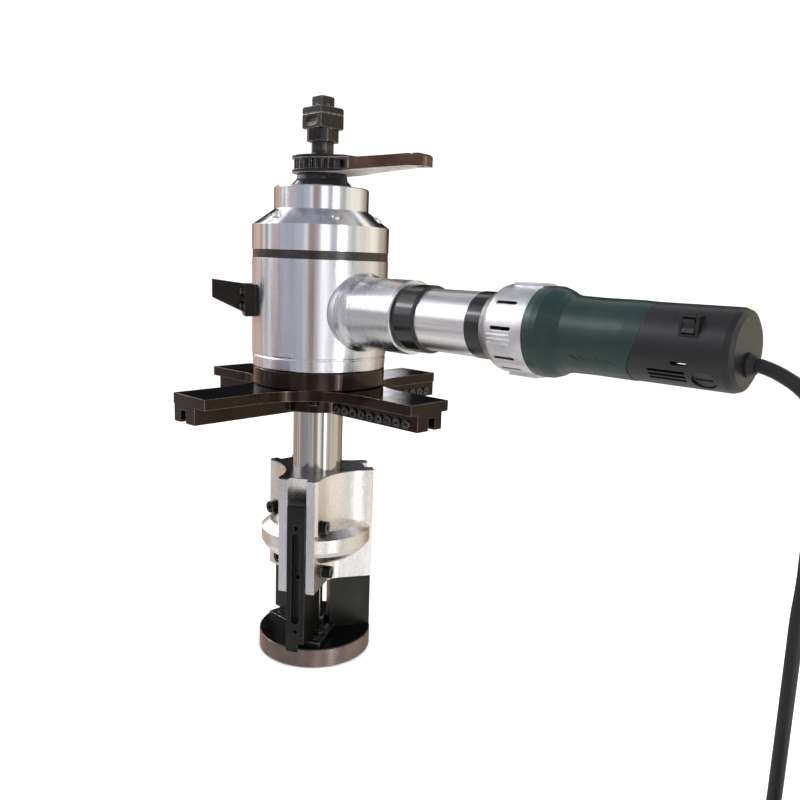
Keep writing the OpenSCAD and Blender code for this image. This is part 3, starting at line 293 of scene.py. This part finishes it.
# Cosines of the angle between the flat and the rounded normal where lighter edges begin and are
# full; on oxide they are wear and painted edge highlights
EDGE_START, EDGE_FULL = 0.995, 0.86
# Between these values lies nearly all of a noise
NOISE_LOW, NOISE_HIGH = 0.3, 0.7


def shade(colour, factor):
    return tuple(min(1, c * factor) for c in colour)


class Surface(Graph):
    """A material with a Principled shader."""

    def __init__(self, name, base, metallic=0.0, roughness=0.5, specular=0.5):
        self.material = bpy.data.materials.new(name)
        self.material.use_nodes = True
        super().__init__(self.material.node_tree)
        self.shader = self.tree.nodes["Principled BSDF"]
        self.set("Base Color", (*base, 1))
        self.set("Metallic", metallic)
        self.set("Roughness", roughness)
        self.set("Specular IOR Level", specular)
        self.place = self.node("ShaderNodeTexCoord").outputs["Object"]

    def set(self, name, value):
        self.shader.inputs[name].default_value = value

    def feed(self, name, socket):
        self.link(socket, self.shader.inputs[name])

    def noise(self, scale, detail=4.0, rough=0.55):
        """Noise with scale features per metre, the same on all axes or one for each."""
        spread = self.node("ShaderNodeMapping")
        every = scale if isinstance(scale, tuple) else (scale, scale, scale)
        spread.inputs["Scale"].default_value = every
        self.link(self.place, spread.inputs["Vector"])
        n = self.node("ShaderNodeTexNoise")
        n.inputs["Scale"].default_value = 1.0
        n.inputs["Detail"].default_value = detail
        n.inputs["Roughness"].default_value = rough
        self.link(spread.outputs["Vector"], n.inputs["Vector"])
        return n.outputs["Fac"]

    def vary(self, noise, low, high):
        """A number that goes from low to high with a noise."""
        return self.span(noise, NOISE_LOW, NOISE_HIGH, low, high)

    def mottle(self, noise, base, dark, light, spots):
        """The base colour, times dark and light where the noise is below and above spots."""
        factors = (dark, 1, light)
        return self.ramp(noise, [(spot, shade(base, f)) for spot, f in zip(spots, factors)])

    def along(self, axis):
        """The object's own coordinate along X, Y or Z, in metres."""
        n = self.node("ShaderNodeSeparateXYZ")
        self.link(self.place, n.inputs[0])
        return n.outputs[axis]

    def upward(self):
        """From -1 where the surface faces down to 1 where it faces up."""
        n = self.node("ShaderNodeSeparateXYZ")
        self.link(self.node("ShaderNodeNewGeometry").outputs["Normal"], n.inputs[0])
        return n.outputs["Z"]

    def soft_normal(self, radius):
        soft = self.node("ShaderNodeBevel", samples=BEVEL_SAMPLES)
        soft.inputs["Radius"].default_value = radius
        return soft.outputs["Normal"]

    def edges(self, radius):
        """From 0 on flat faces to 1 on edges about radius wide."""
        flat = self.node("ShaderNodeNewGeometry").outputs["Normal"]
        same = self.vector("DOT_PRODUCT", self.soft_normal(radius), flat, "Value")
        return self.span(same, EDGE_START, EDGE_FULL)

    def round_edges(self, radius, height=None, strength=0.2, depth=0.2 * MM):
        """Rounds edges in shading and adds bump from height."""
        soft = self.soft_normal(radius)
        if height is None:
            self.feed("Normal", soft)
            return
        bump = self.node("ShaderNodeBump")
        bump.inputs["Strength"].default_value = strength
        bump.inputs["Distance"].default_value = depth
        self.link(height, bump.inputs["Height"])
        self.link(soft, bump.inputs["Normal"])
        self.feed("Normal", bump.outputs["Normal"])

    def lathe(self, axis, height, amount, past=None):
        """Stretches highlights across the marks that turning leaves round an axis at a height.

        Where past is 1, the marks run round the motor's axis.
        """
        place = self.vector("SUBTRACT", self.place, (0, 0, height))
        groove = self.vector("CROSS_PRODUCT", axis, place)
        if past:
            beside = self.vector("SUBTRACT", self.place, (0, 0, MOTOR_Z))
            groove = self.blend(past, groove, self.vector("CROSS_PRODUCT", X_AXIS, beside))
        normal = self.node("ShaderNodeNewGeometry").outputs["Normal"]
        self.feed("Tangent", self.vector("CROSS_PRODUCT", groove, normal))
        self.set("Anisotropic", amount)


# Motor socket on the housing: where its own marks begin, how they fade in, their noise scales
SOCKET_X = 76 * MM
SOCKET_FADE = 6 * MM
SOCKET_EDGE = 1 * MM
SOCKET_STREAK = (5, 60, 60)
SOCKET_RING = (700, 14, 14)


def turned_alloy(name, axis, height, base, rough, streak, ring, socket=None):
    """Machined light alloy: streak and ring are the noise scales of broad and fine marks.

    Past the distance socket along X, the marks run round the motor's axis instead.
    """
    s = Surface(name, base, 1.0, rough)
    broad = s.noise(streak, 3)
    fine = s.noise(ring, 2)
    turn = None
    if socket:
        past = s.span(s.along("X"), socket, socket + SOCKET_FADE)
        turn = s.span(s.along("X"), socket, socket + SOCKET_EDGE)
        broad = s.mix(past, broad, s.noise(SOCKET_STREAK, 3))
        fine = s.mix(past, fine, s.noise(SOCKET_RING, 2))
    colour = s.mottle(broad, base, 0.84, 1.06, (0.36, 0.50, 0.64))
    stain = s.span(s.noise(22, 5, 0.6), 0.55, 0.75, 0.0, 0.22)
    s.feed("Base Color", s.blend(stain, colour, shade(base, 0.72)))
    s.feed("Roughness", s.add(s.vary(broad, -0.04, 0.05), s.vary(fine, rough - 0.04, rough + 0.08)))
    s.lathe(axis, height, 0.7, turn)
    s.round_edges(0.5 * MM, fine, 0.12, 0.05 * MM)
    return s.material


NECK_FADE = 0.5 * MM


def polished_mandrel():
    """Ground shaft, blackened above the feed thread."""
    s = Surface("polished_steel", (0.62, 0.61, 0.60), 1.0, 0.12)
    streak = s.noise((170, 170, 1.6), 3)
    rub = s.noise((60, 60, 240), 3)
    ground = s.ramp(streak, [
        (0.3, (0.34, 0.32, 0.285)), (0.5, (0.52, 0.50, 0.455)), (0.7, (0.66, 0.64, 0.595)),
    ])
    neck = s.span(s.along("Z"), NECK_Z, NECK_Z + NECK_FADE)
    black = s.ramp(rub, [(0.35, (0.030, 0.029, 0.029)), (0.65, (0.085, 0.082, 0.080))])
    s.feed("Base Color", s.blend(neck, ground, black))
    s.feed("Roughness", s.add(s.vary(streak, 0.08, 0.16), s.times(neck, 0.16)))
    s.lathe(Z_AXIS, 0, 0.5)
    s.round_edges(0.4 * MM, streak, 0.08, 0.04 * MM)
    return s.material


# The sawn top face begins this far below the expander's top and is full at the second
SAWN_START, SAWN_FULL = 1.2 * MM, 0.6 * MM


def milled_alloy():
    """Milled and lightly blasted light alloy with a fine speckle and a dull sawn top."""
    s = Surface("milled_alloy", (0.80, 0.785, 0.765), 1.0, 0.34)
    broad = s.noise((26, 26, 11), 5)
    marks = s.noise((500, 500, 60), 3)
    grit = s.noise(820, 3, 0.65)
    colour = s.ramp(broad, [
        (0.33, (0.74, 0.705, 0.66)), (0.5, (0.84, 0.81, 0.775)), (0.68, (0.92, 0.905, 0.89)),
    ])
    speck = s.span(grit, 0.40, 0.62, 0.0, 0.30)
    colour = s.blend(speck, colour, (0.45, 0.43, 0.41), "MULTIPLY")
    sawn = s.span(s.along("Z"), EXPANDER_TOP - SAWN_START, EXPANDER_TOP - SAWN_FULL)
    dull = s.ramp(grit, [(0.40, (0.10, 0.105, 0.12)), (0.62, (0.30, 0.31, 0.34))])
    s.feed("Base Color", s.blend(sawn, colour, dull))
    s.feed("Roughness", s.add(s.vary(marks, 0.26, 0.30), s.vary(grit, -0.05, 0.07)))
    relief = s.add(s.times(marks, 0.12), s.times(grit, 1.6))
    s.round_edges(0.6 * MM, relief, 0.16, 0.1 * MM)
    return s.material


OXIDE_METAL = 0.9
OXIDE_SPOTS = (0.34, 0.52, 0.70)
# Painted shade: the near-black colour given to oxide faces that point up
DARK_TOP_SHADE = (0.006, 0.006, 0.006)


def oxide(name, base, worn_and_highlit_edge, rough, wear, top=None, rim=1.0 * MM):
    """Blackened steel, lighter along its edges with wear that also paints edge highlights, and with
    painted shade that darkens the faces pointing up if a top colour is given.
    """
    s = Surface(name, base, OXIDE_METAL, rough)
    patch = s.noise(34, 6, 0.6)
    grain = s.noise(1100, 2)
    colour = s.mottle(patch, base, 0.80, 1.22, OXIDE_SPOTS)
    if top:
        # Painted shade: faces pointing up are blended to the near-black top colour
        colour = s.blend(s.span(s.upward(), 0.45, 0.8), colour, top)
    # Edge wear that also paints edge highlights: edges are lightened toward the worn colour
    edge_wear_and_highlight = s.times(s.edges(rim), s.span(s.noise(210), 0.36, 0.60, 0.3 * wear, wear))
    s.feed("Base Color", s.blend(edge_wear_and_highlight, colour, worn_and_highlit_edge))
    uneven = s.add(s.vary(patch, rough - 0.05, rough + 0.08), s.vary(grain, -0.03, 0.04))
    s.feed("Roughness", uneven)
    s.round_edges(0.5 * MM, grain, 0.10, 0.05 * MM)
    return s.material


# Distances from the main axis between which the lever's head turns into its arm
HEAD_END, ARM_START = 40 * MM, 52 * MM


def lever_oxide():
    """The lever: brown sides, a top with painted shade that makes it near black, and faces pointing
    down coloured light steel grey.
    """
    base = (0.130, 0.078, 0.056)
    s = Surface("lever_oxide", base, OXIDE_METAL, 0.30)
    patch = s.noise(40, 6, 0.6)
    grain = s.noise(1000, 2)
    colour = s.mottle(patch, base, 0.70, 1.35, OXIDE_SPOTS)
    shaded_top = s.span(s.upward(), 0.35, 0.8)
    down = s.span(s.upward(), -0.35, -0.8)
    # Faces pointing down lose their metal look and are coloured light steel grey in patches
    s.feed("Metallic", s.span(down, 0.0, 1.0, OXIDE_METAL, 0.0))
    reach = s.vector("LENGTH", s.vector("MULTIPLY", s.place, (1, 1, 0)), (0, 0, 0), "Value")
    colour = s.blend(s.span(reach, HEAD_END, ARM_START), (0.030, 0.027, 0.025), colour)
    # Painted shade: faces pointing up are blended to near black
    colour = s.blend(shaded_top, colour, (0.010, 0.010, 0.010))
    light_underside = s.times(down, s.span(patch, 0.30, 0.55, 0.6, 1.0))
    colour = s.blend(light_underside, colour, (0.66, 0.65, 0.63))
    # Edge wear that also paints edge highlights along the lever's edges
    edge_wear_and_highlight = s.times(s.edges(0.8 * MM), s.span(s.noise(210), 0.38, 0.62, 0.10, 0.55))
    s.feed("Base Color", s.blend(edge_wear_and_highlight, colour, (0.42, 0.34, 0.30)))
    s.feed("Roughness", s.add(s.vary(patch, 0.24, 0.36), s.vary(grain, -0.03, 0.04)))
    s.round_edges(0.6 * MM, grain, 0.12, 0.06 * MM)
    return s.material


def steel(name, base, rough, scale):
    """Plain metal with marks at a noise scale."""
    s = Surface(name, base, 1.0, rough)
    marks = s.noise(scale, 3)
    s.feed("Roughness", s.vary(marks, rough - 0.05, rough + 0.08))
    s.feed("Base Color", s.ramp(marks, [(0.3, shade(base, 0.85)), (0.7, base)]))
    s.round_edges(0.4 * MM, marks, 0.08, 0.04 * MM)
    return s.material


def cast_alloy():
    """Cast light alloy with pores."""
    base = (0.70, 0.71, 0.72)
    s = Surface("cast_alloy", base, 1.0, 0.36)
    pores = s.noise(1500, 3)
    s.feed("Base Color", s.mottle(s.noise(45, 4), base, 0.72, 1.16, (0.30, 0.55, 0.75)))
    s.feed("Roughness", s.vary(pores, 0.28, 0.46))
    s.round_edges(0.8 * MM, pores, 0.30, 0.13 * MM)
    return s.material


def plastic(name, base, rough, grain, bump, specular=0.45):
    """Moulded plastic with a fine grain."""
    s = Surface(name, base, 0.0, rough, specular)
    pits = s.noise(grain, 2)
    patch = s.noise(28, 4)
    s.feed("Base Color", s.mottle(patch, base, 0.84, 1.14, (0.32, 0.50, 0.70)))
    s.feed("Roughness", s.add(s.vary(pits, rough - 0.05, rough + 0.08), s.vary(patch, -0.03, 0.04)))
    s.round_edges(0.8 * MM, pits, bump, 0.08 * MM)
    return s.material


def gloss_black():
    """Polished black rings with dust and slightly worn edges."""
    base = (0.006, 0.006, 0.0065)
    s = Surface("gloss_black", base, 0.0, 0.14, 0.5)
    dust = s.noise(700, 4)
    wear = s.times(s.edges(0.6 * MM), s.span(s.noise(60, 5), 0.45, 0.7, 0.0, 0.5))
    s.feed("Base Color", s.blend(wear, base, (0.22, 0.22, 0.23)))
    s.feed("Roughness", s.span(dust, 0.35, 0.7, 0.10, 0.22))
    s.round_edges(0.5 * MM)
    return s.material


def rubber():
    """The lead's sheath and its boot."""
    s = Surface("sheath_rubber", (0.010, 0.010, 0.011), 0.0, 0.46, 0.4)
    skin = s.noise(900, 3)
    tone = s.ramp(skin, [(0.3, (0.004, 0.004, 0.0045)), (0.7, (0.009, 0.009, 0.0095))])
    s.feed("Base Color", tone)
    s.feed("Roughness", s.vary(skin, 0.38, 0.54))
    s.round_edges(0.6 * MM, skin, 0.15, 0.1 * MM)
    return s.material


def winding():
    """The stator's lacquered copper wires."""
    s = Surface("winding", (0.30, 0.17, 0.09), 0.3, 0.4)
    wires = s.noise((40, 900, 900), 2)
    s.feed("Base Color", s.ramp(wires, [(0.4, (0.16, 0.08, 0.04)), (0.6, (0.46, 0.24, 0.12))]))
    s.round_edges(0.4 * MM, wires, 0.3)
    return s.material


def make_materials():
    """Every finish by the name that FINISH_OF uses."""
    alloy = (0.80, 0.80, 0.81)
    return {
        "housing": turned_alloy(
            "housing_alloy", Z_AXIS, 0, (0.70, 0.70, 0.715), 0.25, (75, 75, 2.4), (300, 300, 9),
            socket=SOCKET_X,
        ),
        "cover": turned_alloy(
            "cover_alloy", Z_AXIS, 0, alloy, 0.13, (75, 75, 2.4), (200, 200, 1500),
        ),
        "tube": turned_alloy(
            "tube_alloy", X_AXIS, MOTOR_Z, alloy, 0.25, (3, 90, 90), (9, 320, 320),
        ),
        "polished": polished_mandrel(),
        "milled": milled_alloy(),
        # The top colours of the oxide finishes are painted shade on the faces pointing up
        "oxide": oxide(
            "black_oxide", (0.026, 0.0165, 0.0135), (0.28, 0.24, 0.21), 0.10, 0.8,
            top=(0.004, 0.004, 0.004), rim=1.3 * MM,
        ),
        "hub": oxide(
            "hub_oxide", (0.036, 0.023, 0.020), (0.30, 0.24, 0.21), 0.10, 0.5, top=DARK_TOP_SHADE,
        ),
        "foot": oxide(
            "foot_oxide", (0.180, 0.135, 0.122), (0.42, 0.36, 0.33), 0.24, 0.4, top=DARK_TOP_SHADE,
        ),
        "black_steel": oxide(
            "black_steel", (0.036, 0.033, 0.031), (0.50, 0.48, 0.46), 0.22, 0.9,
        ),
        "lug": oxide("lug_steel", (0.014, 0.011, 0.010), (0.24, 0.18, 0.15), 0.26, 0.7),
        "band": oxide("band_steel", (0.062, 0.058, 0.054), (0.30, 0.30, 0.30), 0.24, 0.2),
        "lever": lever_oxide(),
        "jaw": oxide("jaw_steel", (0.030, 0.030, 0.027), (0.20, 0.20, 0.19), 0.34, 0.6),
        # Painted highlight: the screws' wide, strong worn edges paint bright rims
        "screw": oxide(
            "screw_steel", (0.012, 0.012, 0.012), (0.30, 0.30, 0.29), 0.20, 1.0, rim=1.6 * MM,
        ),
        "bright": steel("bright_steel", (0.82, 0.82, 0.83), 0.16, 300),
        "steel": steel("plain_steel", (0.55, 0.55, 0.56), 0.26, (220, 220, 30)),
        "bronze": steel("bearing_bronze", (0.62, 0.42, 0.20), 0.3, 200),
        "copper": steel("copper", (0.72, 0.36, 0.20), 0.3, (30, 400, 400)),
        "gloss": gloss_black(),
        "cast": cast_alloy(),
        "green": plastic("green_plastic", (0.0036, 0.017, 0.0148), 0.31, 1500, 0.10, 0.5),
        "charcoal": plastic("charcoal_plastic", (0.0065, 0.0062, 0.0068), 0.35, 1300, 0.14),
        "black": plastic("black_plastic", (0.006, 0.006, 0.007), 0.34, 1300, 0.10),
        "rubber": rubber(),
        "winding": winding(),
    }


FINISH_OF = {
    "housing": ["main_housing"],
    "cover": ["top_cover"],
    "tube": ["gearbox_tube"],
    "polished": ["mandrel"],
    "milled": ["expander_body"],
    "oxide": ["cutter_plate"],
    "hub": ["hub_disc"],
    "foot": ["foot_disc"],
    "band": ["housing_band"],
    "black_steel": [
        "foot_nut", "thrust_collar", "clamp_nut", "ratchet_wheel", "jaw_guide_strips",
        "rod_square_end",
    ],
    "lug": ["side_lug"],
    "lever": ["ratchet_lever"],
    "jaw": ["jaw_front", "jaw_right", "jaw_back"],
    "screw": ["guide_strip_screws", "jaw_guide_screws", "cutter_head_screws", "side_lug_screws"],
    "bright": ["cover_screws"],
    "steel": [
        "draw_rod", "spindle_sleeve", "bevel_ring_gear", "spindle_bearing", "feed_key",
        "feed_nut", "ratchet_pawl", "pinion_shaft", "bevel_pinion", "pinion_bearings",
        "planet_ring_gear", "planet_gear_1", "planet_gear_2", "planet_gear_3", "rotor",
        "rotor_bearings",
    ],
    "bronze": ["lower_guide_bush", "upper_guide_bush"],
    "copper": ["commutator"],
    "gloss": ["nut_collar", "adaptor_ring", "gearbox_ring"],
    "cast": ["vent_ring"],
    "green": ["motor_housing"],
    "charcoal": ["motor_tail"],
    "black": [
        "cooling_fan", "brush_caps", "switch_frame", "switch_rocker", "cord_tie", "mains_plug",
    ],
    "rubber": ["cord_boot", "cord_free", "cord_coil"],
    "winding": ["stator"],
}


def dress_nodes(materials):
    """Gives every CAD node its finish."""
    for finish, names in FINISH_OF.items():
        for name in names:
            piece = nodes[name]
            piece.data.materials.clear()
            piece.data.materials.append(materials[finish])


# Floor: half its side, and how far it lies below the object
FLOOR_HALF = 6
FLOOR_DROP = 0.3 * MM


def make_floor():
    """A pale floor that isn't mirrored in the object."""
    mesh = bpy.data.meshes.new("floor")
    corners = [(-1, -1), (1, -1), (1, 1), (-1, 1)]
    places = [(FLOOR_HALF * x, FLOOR_HALF * y, 0) for x, y in corners]
    mesh.from_pydata(places, [], [(0, 1, 2, 3)])
    floor = bpy.data.objects.new("floor", mesh)
    scene.collection.objects.link(floor)
    floor.location.z = -FLOOR_DROP
    floor.visible_glossy = False
    s = Surface("floor_paint", (0.92, 0.92, 0.92), 0.0, 0.7, 0.1)
    pale = s.ramp(s.noise(1.2, 3), [(0.3, (0.90, 0.90, 0.90)), (0.7, (0.94, 0.94, 0.94))])
    s.feed("Base Color", pale)
    mesh.materials.append(s.material)


# Studio that only reflections show
# Heading in degrees, then the light that the walls give there
WALLS = [
    (4, (0.75, 0.75, 0.76)), (18, (0.60, 0.60, 0.60)), (24, (1.00, 0.98, 0.92)),
    (44, (0.98, 0.92, 0.80)), (62, (1.00, 0.93, 0.80)), (80, (0.62, 0.52, 0.42)),
    (104, (0.34, 0.26, 0.21)), (126, (0.20, 0.15, 0.12)), (146, (0.55, 0.38, 0.30)),
    (170, (0.66, 0.45, 0.36)), (196, (0.66, 0.46, 0.38)), (206, (0.40, 0.33, 0.31)),
    (212, (0.95, 0.93, 0.92)), (219, (0.30, 0.30, 0.32)), (226, (0.95, 0.95, 0.97)),
    (232, (0.42, 0.36, 0.38)), (242, (0.52, 0.42, 0.45)), (252, (0.46, 0.47, 0.54)),
    (290, (0.50, 0.51, 0.58)), (297, (0.90, 0.90, 0.94)), (301, (0.36, 0.28, 0.27)),
    (312, (0.40, 0.33, 0.31)), (318, (0.55, 0.56, 0.62)), (323, (1.60, 1.60, 1.65)),
    (333, (1.30, 1.30, 1.35)), (338, (0.46, 0.48, 0.54)), (346, (0.50, 0.52, 0.56)),
    (350, (2.60, 2.60, 2.66)), (359, (2.60, 2.60, 2.66)),
]
# Heading in degrees, then how much of a panel's light shows there
DARK_END = [(94, 0), (112, 1), (160, 1), (172, 0)]
SOFT_BOX = [(162, 0), (176, 1), (226, 1), (242, 0)]
TUBE_LAMP = [(353.2, 0), (353.5, 1), (355.0, 1), (355.3, 0)]
WINDOW = [(134.8, 0), (135.1, 1), (137.5, 1), (137.9, 0)]
# Panels in the order that they cover each other, with the rise at which each begins, is full,
# is last full and ends, and its light. The rise is the sine of the elevation.
PANELS = [
    (TUBE_LAMP, (-0.45, -0.40, 0.50, 0.60), (14.0, 14.0, 14.3)),
    (DARK_END, (-0.05, 0.03, 0.50, 0.62), (0.018, 0.018, 0.021)),
    (SOFT_BOX, (0.12, 0.22, 0.64, 0.70), (2.10, 2.12, 2.20)),
    (SOFT_BOX, (0.44, 0.46, 0.54, 0.56), (9.00, 9.00, 9.20)),
    (WINDOW, (0.135, 0.14, 0.175, 0.18), (3.40, 3.45, 3.60)),
]
RING_LIGHT = (1.30, 1.30, 1.34)
CEILING_LIGHT = (0.32, 0.34, 0.40)
GROUND_LIGHT = (0.85, 0.84, 0.83)
BACKDROP_STRENGTH = 1.16


def round_stops(stops):
    """Stops by heading as stops from 0 to 1, which start at heading 180."""
    return sorted(
        ((h + 180) % 360 / 360, c if isinstance(c, tuple) else (c, c, c)) for h, c in stops
    )


def make_world():
    """White to the camera and to diffuse light, and the studio to reflections."""
    world = bpy.data.worlds.new("studio")
    world.use_nodes = True
    world.cycles.sampling_method = "NONE"
    scene.world = world
    world.node_tree.nodes.clear()
    g = Graph(world.node_tree)
    split = g.node("ShaderNodeSeparateXYZ")
    g.link(g.node("ShaderNodeTexCoord").outputs["Generated"], split.inputs[0])
    heading = g.span(g.math("ARCTAN2", split.outputs["Y"], split.outputs["X"]), -math.pi, math.pi)
    rise = split.outputs["Z"]

    def between(low, low_full, high_full, high):
        return g.times(g.span(rise, low, low_full), g.span(rise, high, high_full))

    light = g.ramp(heading, round_stops(WALLS))
    for stops, heights, colour in PANELS:
        share = g.times(g.ramp(heading, round_stops(stops)), between(*heights))
        light = g.blend(share, light, colour)
    light = g.blend(between(0.62, 0.65, 0.72, 0.74), light, RING_LIGHT)
    light = g.blend(g.span(rise, 0.72, 0.76), light, CEILING_LIGHT)
    light = g.blend(g.span(rise, -0.42, -0.62, 0.0, 0.85), light, GROUND_LIGHT)
    soft = g.node("ShaderNodeBackground")
    soft.inputs["Color"].default_value = (1, 1, 1, 1)
    soft.inputs["Strength"].default_value = BACKDROP_STRENGTH
    mirrored = g.node("ShaderNodeBackground")
    g.link(light, mirrored.inputs["Color"])
    pick = g.node("ShaderNodeMixShader")
    g.link(g.node("ShaderNodeLightPath").outputs["Is Glossy Ray"], pick.inputs[0])
    g.link(soft.outputs[0], pick.inputs[1])
    g.link(mirrored.outputs[0], pick.inputs[2])
    g.link(pick.outputs[0], g.node("ShaderNodeOutputWorld").inputs["Surface"])


# Lamps: name, place and size in metres, power in watts, colour
LAMPS = [
    ("key", (1.3, -0.5, 1.5), (0.9, 1.2), 14, (1, 1, 1)),
    ("fill", (-0.5, -1.6, 0.9), (0.7, 1.4), 8, (0.94, 0.97, 1.0)),
    ("top", (0.1, 0.1, 1.9), (1.6, 1.6), 14, (1, 1, 1)),
    ("rim", (-0.9, 1.1, 0.9), (0.8, 1.2), 6, (1.0, 0.93, 0.88)),
]
LAMP_AIM = (0.1, 0, 0.3)


def make_lamp(name, place, size, power, colour):
    """A soft lamp that lights surfaces but isn't mirrored in them."""
    data = bpy.data.lights.new(name, "AREA")
    data.shape = "RECTANGLE"
    data.size, data.size_y = size
    data.energy = power
    data.color = colour
    lamp = bpy.data.objects.new(name, data)
    scene.collection.objects.link(lamp)
    lamp.location = place
    lamp.rotation_mode = "QUATERNION"
    lamp.rotation_quaternion = (Vector(LAMP_AIM) - Vector(place)).to_track_quat("-Z", "Y")
    lamp.visible_glossy = False


scene.view_settings.view_transform = "Standard"
make_camera()
lead = make_lead()
materials = make_materials()
dress_nodes(materials)
lead.data.materials.append(materials["rubber"])
make_floor()
make_world()
for row in LAMPS:
    make_lamp(*row)
